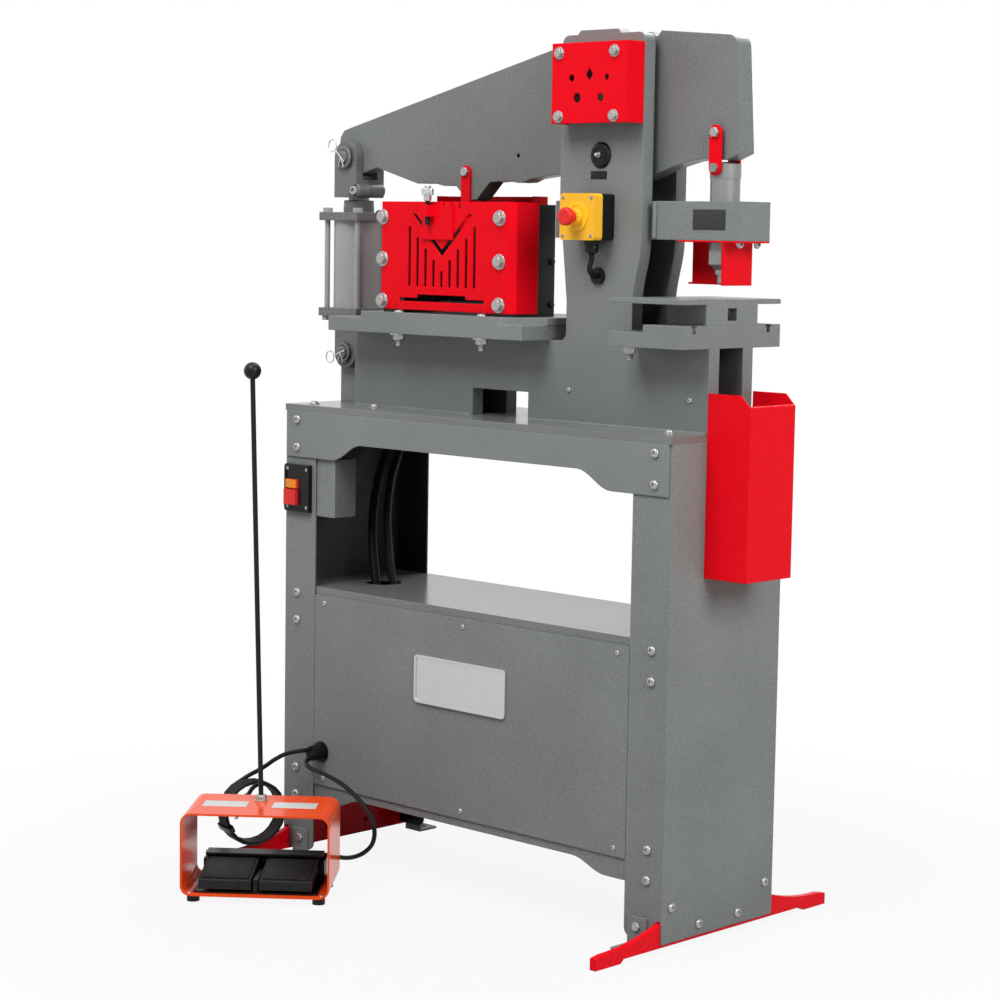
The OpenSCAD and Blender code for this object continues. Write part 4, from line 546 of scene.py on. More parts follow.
grip_dark, grip_pale = (0.005, 0.005, 0.006), (0.012, 0.012, 0.013)
grip_scale, grip_lump, grip_depth, grip_edge = 420.0, 0.55, 0.0008, 0.001
grip_rubber, tree, bsdf = shader("grip_rubber")
bsdf.inputs["Specular IOR Level"].default_value = 0.2
grip_place = place_of(tree)
cells = tree.nodes.new("ShaderNodeTexVoronoi")
cells.inputs["Scale"].default_value = grip_scale
tree.links.new(grip_place, cells.inputs["Vector"])
rubbed = noise(tree, grip_place, 60.0, 3.0)
tree.links.new(ramp(tree, rubbed, ((0.3, grip_dark), (0.7, grip_pale))), bsdf.inputs["Base Color"])
tree.links.new(mapped(tree, rubbed, 0.42, 0.58), bsdf.inputs["Roughness"])
grip_normal = bumped(tree, cells.outputs["Distance"], round_edge(tree, grip_edge)[0], grip_lump, grip_depth)
tree.links.new(grip_normal, bsdf.inputs["Normal"])

# %% [markdown]
# Each solid keeps its mesh and only takes a finish. A table of finish to solids is easier to check against the
# photograph than sixty separate lines. The table's top and the shelf are smooth sheet, so they mirror more than
# the thick hammered plates do.

# %% Give every solid its finish
painted = [
    (grey_enamel, ["front_side_plate", "rear_side_plate", "guide_block", "bolster_plate", "die_holder", "shear_bed",
                   "cylinder_lug", "anchor_brackets"]),
    (beam_enamel, ["beam"]),
    (stand_enamel, ["end_panels", "stand_rails", "cabinet_panels", "switch_enclosure"]),
    (sheet_enamel, ["table_plate", "shelf"]),
    (red_enamel, ["feet", "tool_bin", "shear_guards", "post_guard", "carrier_straps", "hold_down", "ram_straps",
                  "stripper"]),
    (cast_enamel, ["cylinder_heads", "rod_clevis", "hinge_pins"]),
    (tube_enamel, ["cylinder_tube", "tie_rods"]),
    (dark_enamel, ["shear_housing", "blade_carrier"]),
    (zinc, ["machine_bolts", "beam_bolts", "motor_shaft", "thumbscrew"]),
    (ground_steel, ["ram", "piston_rod", "die", "lower_blade"]),
    (tool_steel, ["punch"]),
    (silver_face, ["badge_plate"]),
    (black_enamel, ["oil_tank", "pump_motor", "carry_rod"]),
    (black_rubber, ["hydraulic_hoses", "estop_lead", "cord_gland", "pedal_lead", "power_lead", "power_coil",
                    "power_plug"]),
    (black_plastic, ["grease_cap", "switch_housings", "pedal_base"]),
    (grip_rubber, ["left_treadle", "right_treadle"]),
    (yellow_plastic, ["estop_cover"]),
    (red_plastic, ["estop_button", "stop_paddle"]),
    (orange_plastic, ["start_button"]),
    (orange_enamel, ["pedal_guard"]),
]
done = set()
for coat, names in painted:
    for name in names:
        nodes[name].data.materials.clear()
        nodes[name].data.materials.append(coat)
        done.add(name)
print("painted:", len(done), "unpainted:", sorted(set(nodes) - done))

# %% [markdown]
# Two rubber leads leave one boot at the front of the cabinet. One swings out to the right and back to the foot
# pedal. Its route is a smooth curve through the same points as its solid, given in millimetres from the boot or in
# the pedal's own turned directions, so the lead is one unbroken length that lies where the solid lies.

# %% Route of the pedal lead
mm_in_m = 1000
boot_at = Vector((-0.356, -0.142, 0.200))
lead_d, lead_steps = 0.008, 4
pedal_angle = math.radians(41)
pedal_at = Vector((-0.201, -0.432, 0.0))
pedal_x = Vector((math.cos(pedal_angle), math.sin(pedal_angle), 0))
pedal_y = Vector((-math.sin(pedal_angle), math.cos(pedal_angle), 0))
entry_x, entry_y, entry_z, entry_run = 58, 148, 40, 15


def from_boot(points):
    return [boot_at + Vector(p) / mm_in_m for p in points]


def on_pedal(x, y, z):
    return pedal_at + (pedal_x * x + pedal_y * y + Vector((0, 0, z))) / mm_in_m


def eased(p, steps):
    smooth = []
    for i in range(len(p) - 1):
        a, b, c, d = p[max(i - 1, 0)], p[i], p[i + 1], p[min(i + 2, len(p) - 1)]
        bend, twist = 2 * a - 5 * b + 4 * c - d, 3 * b - a - 3 * c + d
        smooth += [0.5 * (2 * b + (c - a) * t + bend * t * t + twist * t ** 3)
                   for t in (k / steps for k in range(steps))]
    return smooth + [p[-1]]


def length_of(points):
    return sum((b - a).length for a, b in zip(points, points[1:]))


pedal_path = eased(from_boot([
    (6, -26, -6), (7.2, -35.3, -7), (10.8, -44, -8), (16.5, -51.5, -9.5), (24, -57.2, -11.5), (32.7, -60.8, -13.5),
    (44, -62, -16), (76, -62, -20), (108, -62, -26), (136, -62, -35), (164, -63, -48), (190, -64, -64),
    (206, -65, -81), (213, -66, -102), (207.5, -67, -123), (188, -68, -141), (163, -69, -153), (138, -69, -159),
    (119, -69, -160), (101, -74, -160), (88, -87, -160), (83.5, -105, -160), (86.5, -118.5, -160)])
    + [on_pedal(entry_x, entry_y + entry_run, entry_z), on_pedal(entry_x, entry_y, entry_z)], lead_steps)
print("pedal lead m:", round(length_of(pedal_path), 3))

# %% [markdown]
# The power lead goes left to a tied coil that rests on the left foot, and the last of it bends out of the coil to
# its plug. The loops are a tight helix round a level axis, and the tail is an arc that leaves it smoothly.

# %% Route of the power lead
coil_turn = math.radians(75)
coil_mid = boot_at + Vector((-0.091, -0.086, -0.113))
coil_side = Vector((math.cos(coil_turn), math.sin(coil_turn), 0))
coil_axis = Vector((-math.sin(coil_turn), math.cos(coil_turn), 0))
coil_r, coil_pitch, coil_steps, coil_count, coil_start = 0.056, 0.0092, 24, 93, 110
coil_half = coil_pitch * coil_count / coil_steps / 2
coil_stop = coil_start + 360 * coil_count / coil_steps
tail_r, tail_out, tail_turn, tail_steps = 0.042, 0.017, 66, 6


def round_at(degrees, r):
    a = math.radians(degrees)
    return r * (math.cos(a) * coil_side + math.sin(a) * Vector((0, 0, 1)))


loops = [coil_mid + round_at(coil_start + 360 * i / coil_steps, coil_r)
         + coil_half * (1 - 2 * i / coil_count) * coil_axis for i in range(coil_count + 1)]
tail = [coil_mid + round_at(coil_stop, coil_r - tail_r) + round_at(coil_stop + tail_turn * i / tail_steps, tail_r)
        - (coil_half + tail_out * (i / tail_steps) ** 2) * coil_axis for i in range(1, tail_steps + 1)]
inward = (loops[0] - loops[1]).normalized() * lead_d
coil_begin = loops[0] + inward
coil_way = (tail[-1] - tail[-2]).normalized()
coil_end = tail[-1] + coil_way * lead_d
power_path = eased(from_boot([
    (-6, -26, 6), (-7.2, -35.3, 6), (-10.8, -44, 5.5), (-16.5, -51.5, 4), (-24, -57.2, 1.5), (-32.7, -60.8, -2),
    (-44, -62.5, -8), (-60, -63, -17), (-75, -64, -27), (-88.5, -67, -36), (-98, -72, -42.5), (-105, -79, -48)])
    + [coil_begin + inward, coil_begin], lead_steps) + loops + tail + [coil_end]
print("power lead m:", round(length_of(power_path), 3))

# %% [markdown]
# A poly curve through closely spaced points is the surest lead here, because it can't swing wide between them.
# Its round section comes from the curve's own bevel. Each lead takes the place of its plain solids.

# %% The two leads
def lead(name, points):
    data = bpy.data.curves.new(name, "CURVE")
    data.dimensions = "3D"
    data.bevel_depth = lead_d / 2
    data.bevel_resolution = 4
    data.use_fill_caps = True
    spline = data.splines.new("POLY")
    spline.points.add(len(points) - 1)
    for p, q in zip(spline.points, points):
        p.co = (*q, 1.0)
    spline.use_smooth = True
    data.materials.append(black_rubber)
    obj = bpy.data.objects.new(name, data)
    scene.collection.objects.link(obj)
    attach(obj, "machine")
    return obj


pedal_cable = lead("pedal_cable", pedal_path)
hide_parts("pedal_lead")
power_cable = lead("power_cable", power_path)
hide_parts("power_lead", "power_coil")
print("leads:", pedal_cable.name, power_cable.name)

# %% [markdown]
# The plug is turned from one profile: moulded grip rings that widen from the lead, a neck, and a round body with a
# groove. Its two flat blades and the round earth pin are a piece of their own, because they are bright metal.

# %% Plug
plug_ribs, rib_r0, rib_grow, rib_h0, rib_pitch = 4, 0.0064, 0.0008, 0.0012, 0.0027
plug_neck, plug_to = 0.0125, 0.042
blade_w, blade_t, blade_y, blade_soft = 0.0064, 0.0016, 0.0055, 0.0006
earth_r, earth_tip_r, earth_x, earth_taper, pin_len = 0.0024, 0.0014, 0.0072, 0.0145, 0.016
plug_seat = seat(coil_end, coil_way)
profile = [(0.0, 0.0), (0.0056, 0.0)]
for k in range(plug_ribs):
    r, h = rib_r0 + rib_grow * k, rib_h0 + rib_pitch * k
    profile += [(r, h), (r, h + 0.0014), (r - 0.001, h + 0.0016)]
profile += [(0.0108, plug_neck), (0.0119, 0.0150), (0.012, 0.034), (0.0112, 0.0362), (0.0112, 0.0372),
            (0.0119, 0.0384), (0.0119, 0.0412), (0.0112, plug_to), (0.0, plug_to)]
bm = bmesh.new()
turned(bm, profile, plug_seat, 28)
plug = piece("power_plug_body", bm, "machine", black_rubber)
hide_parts("power_plug")
bm = bmesh.new()
for y in (blade_y, -blade_y):
    flat(bm, rounded(blade_w, blade_t, blade_soft, 2), plug_seat @ Matrix.Translation((0, y, plug_to)), pin_len,
         blade_soft)
turned(bm, [(0.0, 0.0), (earth_r, 0.0), (earth_r, earth_taper), (earth_tip_r, pin_len), (0.0, pin_len)],
       plug_seat @ Matrix.Translation((earth_x, 0.0, plug_to)), 14)
pins = piece("power_plug_pins", bm, "machine", bright_steel)
print("plug m:", plug_to + pin_len)

# %% [markdown]
# A flat strap ties the coil. It goes round the bundle as a squarish ring, which a circle with its sine and cosine
# raised to a low power gives.

# %% Tie of the coil
tie_angle, tie_half_w, tie_t, tie_sides, tie_power = 205, 0.0045, 0.0011, 40, 0.6
tie_long, tie_short = coil_half + 0.0095, 0.0058
tie_mid, tie_way = coil_mid + round_at(tie_angle, coil_r), round_at(tie_angle, 1.0)
tie_along = coil_axis.cross(tie_way).normalized()


def squarish(v):
    return math.copysign(abs(v) ** tie_power, v)


bm = bmesh.new()
bands = []
for k in range(tie_sides):
    long_way = squarish(math.cos(2 * math.pi * k / tie_sides))
    short_way = squarish(math.sin(2 * math.pi * k / tie_sides))
    base = tie_mid + coil_axis * tie_long * long_way + tie_way * tie_short * short_way
    grow = (coil_axis * long_way + tie_way * short_way).normalized() * tie_t
    bands.append([bm.verts.new(base + tie_along * d + g) for d, g in (
        (-tie_half_w, Vector()), (-tie_half_w, grow), (tie_half_w, grow), (tie_half_w, Vector()))])
bridged(bm, bands, closed=True)
tie = piece("coil_tie", bm, "machine", black_plastic)
print("coil turns:", round(coil_count / coil_steps, 2))

# %% [markdown]
# A boot at the cabinet and a tapered sleeve at the pedal keep the leads from kinking. The boot's body is a solid
# already, so only its four raised ribs are added, and the sleeve is turned in five steps that get thinner.

# %% Boots of the leads
boot_ribs, boot_r, boot_taper, boot_first, boot_pitch = 4, 0.01365, 0.00018, 0.006, 0.0052
rib_sunk, rib_proud, rib_foot, rib_top = 0.0008, 0.0009, 0.0013, 0.0008
sleeve_steps, sleeve_taper, sleeve_pitch, sleeve_len = 5, 0.0004, 0.004, 0.024
bm = bmesh.new()
for k in range(boot_ribs):
    r, h = boot_r - boot_taper * k, boot_first + boot_pitch * k
    turned(bm, [(r - rib_sunk, h - rib_foot), (r + rib_proud, h - rib_top), (r + rib_proud, h + rib_top),
                (r - rib_sunk, h + rib_foot)], seat(boot_at, (0, -1, 0)), 32)
sleeve = [(0.0, -0.001), (0.0082, -0.001), (0.0082, 0.002)]
for k in range(sleeve_steps):
    thinner, further = sleeve_taper * k, sleeve_pitch * k
    sleeve += [(0.0068 - thinner, 0.003 + further), (0.0068 - thinner, 0.0055 + further),
               (0.006 - thinner, 0.006 + further)]
sleeve += [(0.0042, sleeve_len), (0.0, sleeve_len)]
turned(bm, sleeve, seat(on_pedal(entry_x, entry_y, entry_z), pedal_y), 24)
piece("lead_boots", bm, "machine", black_rubber)
print("boot ribs:", boot_ribs, "sleeve steps:", sleeve_steps)

# %% [markdown]
# The bolts are plain solids in the frame, so their places can be read from it: the node's mesh falls apart into
# islands, one for each bolt, and an island's box gives its axis and its outer end. Walking along edges from a
# point finds its island. Islands of eight points or fewer are plain blocks, not bolts.

# %% Islands of a solid
same_point, block_points = 1e-5, 8


def islands(name):
    bm = bmesh.new()
    bm.from_mesh(nodes[name].data)
    bmesh.ops.remove_doubles(bm, verts=bm.verts, dist=same_point)
    left = set(bm.verts)
    boxes = []
    for start in bm.verts:
        if start not in left:
            continue
        left.remove(start)
        todo, found = [start], []
        while todo:
            v = todo.pop()
            found.append(v.co.copy())
            for e in v.link_edges:
                w = e.other_vert(v)
                if w in left:
                    left.remove(w)
                    todo.append(w)
        if len(found) > block_points:
            boxes.append((Vector([min(p[i] for p in found) for i in range(3)]),
                          Vector([max(p[i] for p in found) for i in range(3)])))
    bm.free()
    return boxes


print("islands of machine_bolts:", len(islands("machine_bolts")))

# %% [markdown]
# On the real machine the stand has round button heads with a socket, the covers have hexagon heads on
# washers, and studs with nuts hold the bed and the bolster. Each head is turned or cut from its outline on a seat,
# and a thread is a stack of rings, which reads as a thread at this size.

# %% Heads, washers and studs
thread_pitch = 0.0017


def button_head(bm, at, r, h):
    turned(bm, [(0.0, 0.0), (r, 0.0), (r, 0.3 * h), (0.94 * r, 0.62 * h), (0.76 * r, 0.88 * h), (0.52 * r, h),
                (0.42 * r, h), (0.38 * r, 0.5 * h), (0.0, 0.5 * h)], at)


def washer(bm, at, r, t):
    turned(bm, [(0.0, 0.0), (r, 0.0), (r, 0.7 * t), (0.96 * r, t), (0.0, t)], at, 28)
    return at @ Matrix.Translation((0, 0, t))


def hex_head(bm, at, r, h):
    flat(bm, hexagon(r), at, 0.86 * h, 0.12 * h)
    turned(bm, [(0.0, 0.8 * h), (0.84 * r, 0.8 * h), (0.8 * r, h), (0.0, h)], at)


def stud_end(bm, at, r, length):
    rings = [(0.0, 0.0)]
    for k in range(int(length / thread_pitch)):
        rings += [(r, thread_pitch * k), (0.86 * r, thread_pitch * (k + 0.5))]
    turned(bm, rings + [(0.8 * r, length), (0.0, length)], at, 18)


print("heads, washers and studs ready")

# %% [markdown]
# Where a bolt sits tells what kind it is: at the ends of the stand, on its front or back, on a cover, through the
# bed, or under the stripper. Its island's size tells the rest. A few screws in the table and the side plate are too
# small to be solids, so their places are written out.

# %% Fasteners of the machine
end_x, stand_y, cover_y, cover_z = 0.44, 0.13, -0.07, 1.005
screw_w, anchor_w, cover_w, stud_h = 0.012, 0.0145, 0.018, 0.02
head_h, cover_head_h, screw_h, anchor_h, foot_head_r = 0.005, 0.007, 0.0022, 0.005, 0.008
nut_h, stud_r, stud_out, stud_head_r, stud_head_h = 0.009, 0.006, 0.010, 0.0085, 0.004
cover_washer, cover_washer_t, nut_washer_r, nut_washer_t = 0.64, 0.0018, 0.0155, 0.0025
table_washer_r, table_washer_t, table_head_r, table_head_h = 0.0105, 0.0012, 0.0075, 0.0042
plate_head_r, plate_head_h = 0.0048, 0.0026
table_screws = ((0.395, -0.077), (0.395, 0.077), (-0.300, -0.071), (-0.300, 0.071), (-0.413, -0.115))
plate_screws = ((0.155, 0.882), (0.417, 0.879))
bed_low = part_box("shear_bed")[0][2]
table_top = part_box("table_plate")[1][2]
plate_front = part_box("front_side_plate")[0][1]
counts = {}
bm = bmesh.new()
for lo, hi in islands("machine_bolts"):
    mid, size = (lo + hi) / 2, hi - lo
    half_w = size.x / 2
    if abs(mid.x) > end_x:
        kind, side = "foot", math.copysign(1, mid.x)
        outer = max(abs(lo.x), abs(hi.x))
        button_head(bm, seat((side * (outer - head_h), mid.y, mid.z), (side, 0, 0)), foot_head_r, head_h)
    elif abs(mid.y) > stand_y:
        side = math.copysign(1, mid.y)
        outer = max(abs(lo.y), abs(hi.y))
        if size.x < screw_w:
            kind, head, h = "panel", button_head, screw_h
        elif size.z < anchor_w:
            kind, head, h = "anchor", hex_head, anchor_h
        else:
            kind, head, h = "leg", button_head, head_h
        head(bm, seat((mid.x, side * (outer - h), mid.z), (0, side, 0)), half_w, h)
    elif mid.y < cover_y and lo.z > cover_z:
        kind = "cover"
        h = cover_head_h if size.x > cover_w else head_h
        at = washer(bm, seat((mid.x, lo.y + h, mid.z), (0, -1, 0)), cover_washer * size.x, cover_washer_t)
        hex_head(bm, at, half_w, h)
    elif size.z > stud_h:
        kind = "plate"
        at = washer(bm, seat((mid.x, mid.y, bed_low), (0, 0, -1)), nut_washer_r, nut_washer_t)
        hex_head(bm, at, half_w, nut_h)
        stud_end(bm, at @ Matrix.Translation((0, 0, nut_h)), stud_r, stud_out)
        button_head(bm, seat((mid.x, mid.y, hi.z - stud_head_h), (0, 0, 1)), stud_head_r, stud_head_h)
    else:
        kind = "stripper"
        hex_head(bm, seat((mid.x, mid.y, lo.z + head_h), (0, 0, -1)), half_w, head_h)
    counts[kind] = counts.get(kind, 0) + 1
for x, y in table_screws:
    at = washer(bm, seat((x, y, table_top), (0, 0, 1)), table_washer_r, table_washer_t)
    button_head(bm, at, table_head_r, table_head_h)
for x, z in plate_screws:
    button_head(bm, seat((x, plate_front, z), (0, -1, 0)), plate_head_r, plate_head_h)
fasteners = piece("machine_fasteners", bm, "machine", zinc)
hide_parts("machine_bolts")
print("bolts:", counts)

# %% [markdown]
# The bolts through the beam hold the red straps. They ride on the beam, and their heads stand a hair off the straps,
# so that nothing rubs when the straps tilt. The black screws in the housing are only heads.

# %% Fasteners of the beam and the housing
strap_gap, shank_r, beam_head_r = 0.0004, 0.004, 0.0086
housing_in, housing_screw_r, housing_screw_h, housing_screw_z = 0.008, 0.006, 0.004, (1.093, 1.020)
bm = bmesh.new()
for lo, hi in islands("beam_bolts"):
    mid = (lo + hi) / 2
    for y, side in ((lo.y + head_h - strap_gap, -1), (hi.y - head_h + strap_gap, 1)):
        hex_head(bm, seat((mid.x, y, mid.z), (0, side, 0)), beam_head_r, head_h)
    shank_len = hi.y - lo.y - 2 * head_h
    turned(bm, [(0.0, 0.0), (shank_r, 0.0), (shank_r, shank_len), (0.0, shank_len)],
           seat((mid.x, lo.y + head_h, mid.z), (0, 1, 0)), 16)
beam_set = piece("beam_fasteners", bm, "beam", zinc)
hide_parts("beam_bolts")
housing_hi = Vector(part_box("shear_housing")[1])
bm = bmesh.new()
for z in housing_screw_z:
    hex_head(bm, seat((housing_hi.x, housing_hi.y - housing_in, z), (1, 0, 0)), housing_screw_r, housing_screw_h)
piece("housing_screws", bm, "machine", black_enamel)
print("beam bolts:", len(islands("beam_bolts")), "housing screws:", len(housing_screw_z))

# %% [markdown]
# The cylinder hangs between two pins. Each pin ends in a collar with a wire ring through it, so that it can be
# drawn out by hand. The collars and the pins' chamfered ends are turned, and the rings are swept wire with two
# short legs that hang from the hole.

# %% Pins of the cylinder
clevis_pin_h, low_pin_z = 0.05, 1.0
collar_in, collar_edge, collar_t, collar_dish = 0.0038, 0.0022, 0.0034, 0.0024
pin_in, pin_hole = 0.002, 0.0016
ring_out, ring_r, ring_sides, wire_r, wire_bend, wire_in = 0.0042, 0.0105, 28, 0.0011, 0.004, 0.012
leg_xs, leg_drop = (-0.006, 0.008), 0.017


def wire_ring(bm, pin, centre):
    tube(bm, [centre + Vector((x, 0, z)) for x, z in circle(ring_r, ring_sides)], wire_r, closed=True)
    way = (centre - pin).normalized()
    tube(bm, [centre - way * ring_r, pin + way * wire_bend, pin - way * wire_in], wire_r)


clevis_pin = next(b for b in islands("rod_clevis") if b[1].z - b[0].z < clevis_pin_h)
low_pin = next(b for b in islands("hinge_pins") if b[1].z < low_pin_z)
for name, (lo, hi), body, ring_from, collar_r in (
        ("clevis_pin_trim", clevis_pin, "piston_rod", Vector((-0.022, 0, 0.021)), 0.0205),
        ("low_pin_trim", low_pin, "machine", Vector((-0.027, 0, -0.009)), 0.0185)):
    mid = (lo + hi) / 2
    pin_r = (hi.x - lo.x) / 2
    bm = bmesh.new()
    for y, side in ((lo.y, -1), (hi.y, 1)):
        turned(bm, [(0.0, 0.0), (collar_r, 0.0), (collar_r, collar_edge), (0.92 * collar_r, collar_t),
                    (1.1 * pin_r, collar_t), (1.06 * pin_r, collar_dish), (0.0, collar_dish)],
               seat((mid.x, y - side * collar_in, mid.z), (0, side, 0)), 36)
    for y, side in ((lo.y, -1), (hi.y, 1)):
        turned(bm, [(0.0, -pin_in), (0.94 * pin_r, -pin_in), (0.94 * pin_r, collar_edge), (0.8 * pin_r, collar_t),
                    (0.24 * pin_r, collar_t), (0.0, pin_hole)], seat((mid.x, y, mid.z), (0, side, 0)), 28)
    piece(name + "_collar", bm, body, cast_enamel)
    bm = bmesh.new()
    front = Vector((mid.x, lo.y - ring_out, mid.z))
    wire_ring(bm, front, front + ring_from)
    for leg_x in leg_xs:
        tube(bm, [front, front + Vector((leg_x, 0.0, -leg_drop))], wire_r)
    piece(name, bm, body, bright_steel)
print("pins dressed: 2")

# %% [markdown]
# The clevis at the top is a casting that a cross bolt clamps on the rod. The split round boss is turned with a
# groove where the slit is, and the bolt's head has a socket. A ring-shaped cap closes the gap round the rod at the
# cylinder's top; it belongs to the cylinder, and the rod slides in it.

# %% Clamp and gland cap
clamp_at = Vector((-0.398, -0.0345, 1.2125))
clamp_r, clamp_len, clamp_soft = 0.0125, 0.066, 0.002
bm = bmesh.new()
turned(bm, [(0.0, 0.0), (0.8 * clamp_r, 0.0), (clamp_r, clamp_soft), (clamp_r, 0.030), (0.86 * clamp_r, 0.0305),
            (0.86 * clamp_r, 0.0335), (clamp_r, 0.034), (clamp_r, clamp_len - clamp_soft),
            (0.8 * clamp_r, clamp_len), (0.0, clamp_len)], seat(clamp_at, (0, 1, 0)), 32)
piece("clevis_clamp", bm, "piston_rod", cast_enamel)
bm = bmesh.new()
turned(bm, [(0.0, -0.001), (0.0082, -0.001), (0.0082, 0.005), (0.0074, 0.006), (0.0044, 0.006), (0.0042, 0.0025),
            (0.0, 0.0025)], seat(clamp_at, (0, -1, 0)), 24)
piece("clamp_bolt", bm, "piston_rod", zinc)
head_top, rod_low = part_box("cylinder_heads")[1][2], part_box("rod_clevis")[0][2]
rod_x = (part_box("piston_rod")[0][0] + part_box("piston_rod")[1][0]) / 2
gland_r, gland_bore, gland_soft, gland_clear = 0.0275, 0.0202, 0.0015, 0.005
gland_h = rod_low - gland_clear - head_top
bm = bmesh.new()
turned(bm, [(gland_bore, 0.0), (gland_r, 0.0), (gland_r, gland_h), (gland_r - gland_soft, gland_h + gland_soft),
            (gland_bore + 0.001, gland_h + gland_soft), (gland_bore, gland_h), (gland_bore, 0.0)],
       seat((rod_x, 0.0, head_top - gland_soft), (0, 0, 1)), 40)
piece("gland_cap", bm, "cylinder", cast_enamel)
print("gland cap m:", round(gland_h, 4))

# %% [markdown]
# Hose fittings screw into the two ports at the cylinder's back. Each is a hexagon with a turned, grooved nipple
# behind it. They ride on the cylinder, because the ports do.

# %% Hose fittings
cyl_x = (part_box("cylinder_tube")[0][0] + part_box("cylinder_tube")[1][0]) / 2
port_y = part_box("cylinder_heads")[1][1]
ports_up, port_in = (0.164, 0.339), 0.001
fitting_hex_r, fitting_hex, fitting_soft, fitting_r, fitting_len = 0.0135, 0.009, 0.001, 0.0108, 0.0225
bm = bmesh.new()
for up in ports_up:
    at = seat((cyl_x, port_y - port_in, table_top + up), (0, 1, 0))
    flat(bm, hexagon(fitting_hex_r), at, fitting_hex, fitting_soft)
    turned(bm, [(0.0, fitting_hex), (0.0095, fitting_hex), (0.0095, 0.011), (fitting_r, 0.012), (fitting_r, 0.016),
                (0.0102, 0.0165), (0.0102, 0.0175), (fitting_r, 0.018), (fitting_r, 0.0215), (0.0092, fitting_len),
                (0.0, fitting_len)], at, 28)
piece("hose_fittings", bm, "cylinder", zinc)
print("hose fittings:", len(ports_up))

# %% [markdown]
# The emergency stop is a yellow box with a red mushroom in a brighter yellow ring, and a black gland nut under it
# for its lead. The mushroom is turned with a rounded rim and replaces the plain solid, because its rounded edge is
# what one sees first. Small screws hold the cover.

# %% Emergency stop
cover_front, disc_front = -0.104, -0.1055
stem_r, knob_head, ring_outer, ring_inner, ring_t, sunk = 0.0085, 0.013, 0.0238, 0.0178, 0.0009, 0.0002
stop_screw_off, stop_screw_r, stop_screw_h = 0.031, 0.0032, 0.0014
head_lo, head_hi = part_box("estop_button")
stop_mid = (Vector(head_lo) + Vector(head_hi)) / 2
knob_r, knob_len = (head_hi[0] - head_lo[0]) / 2, head_hi[1] - head_lo[1]
stem_len = knob_len - knob_head
bm = bmesh.new()
turned(bm, [(0.0, 0.0), (stem_r, 0.0), (stem_r, stem_len - 0.003), (0.0105, stem_len - 0.001),
            (0.9 * knob_r, stem_len), (knob_r, knob_len - 0.7 * knob_head), (knob_r, knob_len - 0.32 * knob_head),
            (0.95 * knob_r, knob_len - 0.14 * knob_head), (0.84 * knob_r, knob_len - 0.03 * knob_head),
            (0.72 * knob_r, knob_len), (0.4 * knob_r, knob_len - 0.0006), (0.0, knob_len - 0.0008)],
       seat((stop_mid.x, head_hi[1], stop_mid.z), (0, -1, 0)), 40)
mushroom = piece("estop_mushroom", bm, "estop_button", red_plastic)
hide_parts("estop_button")
bm = bmesh.new()
frame_ring(bm, circle(ring_outer, 48), circle(ring_inner, 48),
           seat((stop_mid.x, disc_front + sunk, stop_mid.z), (0, -1, 0)), ring_t)
piece("estop_ring", bm, "machine", bright_yellow)
stop_gland_at, stop_gland_r, stop_gland_hex, stop_gland_end = (0.217, -0.074, 1.132), 0.011, 0.008, 0.0235
bm = bmesh.new()
at = seat(stop_gland_at, (0, 0, -1))
flat(bm, hexagon(1.2 * stop_gland_r), at, stop_gland_hex, 0.0012)
turned(bm, [(0.0, stop_gland_hex), (1.05 * stop_gland_r, stop_gland_hex), (1.05 * stop_gland_r, 0.0095),
            (stop_gland_r, 0.010), (1.06 * stop_gland_r, 0.011), (1.06 * stop_gland_r, 0.016),
            (0.9 * stop_gland_r, 0.020), (0.5 * stop_gland_r, stop_gland_end), (0.0, stop_gland_end)], at, 24)
piece("estop_gland", bm, "machine", black_plastic)
bm = bmesh.new()
for dx in (-stop_screw_off, stop_screw_off):
    for dz in (-stop_screw_off, stop_screw_off):
        at = seat((stop_mid.x + dx, cover_front, stop_mid.z + dz), (0, -1, 0))
        button_head(bm, at, stop_screw_r, stop_screw_h)
piece("estop_screws", bm, "machine", tool_steel)
print("emergency stop dressed, knob radius:", round(knob_r, 4))

# %% [markdown]
# The start and stop switch sits on the left leg. Its plate has a raised rim and four screws, and the start button
# stands in a red surround. The rim and the surround are frames between two outlines with the same corners.

# %% Start and stop switch
switch_x0, switch_x1, switch_z0, switch_z1, switch_y = -0.453, -0.387, 0.633, 0.718, -0.149
rim_w, rim_h, rim_r, rim_inner_r = 0.0045, 0.0022, 0.006, 0.003
switch_screw_x, switch_screw_z, switch_screw_r, switch_screw_h = 0.0075, 0.008, 0.0034, 0.0018
surround_w, surround_h, surround_gap = 0.0035, 0.0022, 0.0008
switch_mid = Vector(((switch_x0 + switch_x1) / 2, switch_y, (switch_z0 + switch_z1) / 2))
switch_w, switch_h = switch_x1 - switch_x0, switch_z1 - switch_z0
button_lo, button_hi = (Vector(v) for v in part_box("start_button"))
button_mid = (button_lo + button_hi) / 2
bm = bmesh.new()
frame_ring(bm, rounded(switch_w, switch_h, rim_r),
           rounded(switch_w - 2 * rim_w, switch_h - 2 * rim_w, rim_inner_r),
           seat(switch_mid + Vector((0, sunk, 0)), (0, -1, 0)), rim_h)
piece("switch_rim", bm, "machine", black_plastic)
bm = bmesh.new()
wide, tall = button_hi.x - button_lo.x + 2 * surround_gap, button_hi.z - button_lo.z + 2 * surround_gap
frame_ring(bm, rounded(wide + 2 * surround_w, tall + 0.0002, 0.001), rounded(wide, tall - 0.001, 0.0008),
           seat((button_mid.x, switch_y + sunk, button_mid.z), (0, -1, 0)), surround_h)
piece("start_surround", bm, "machine", red_plastic)
bm = bmesh.new()
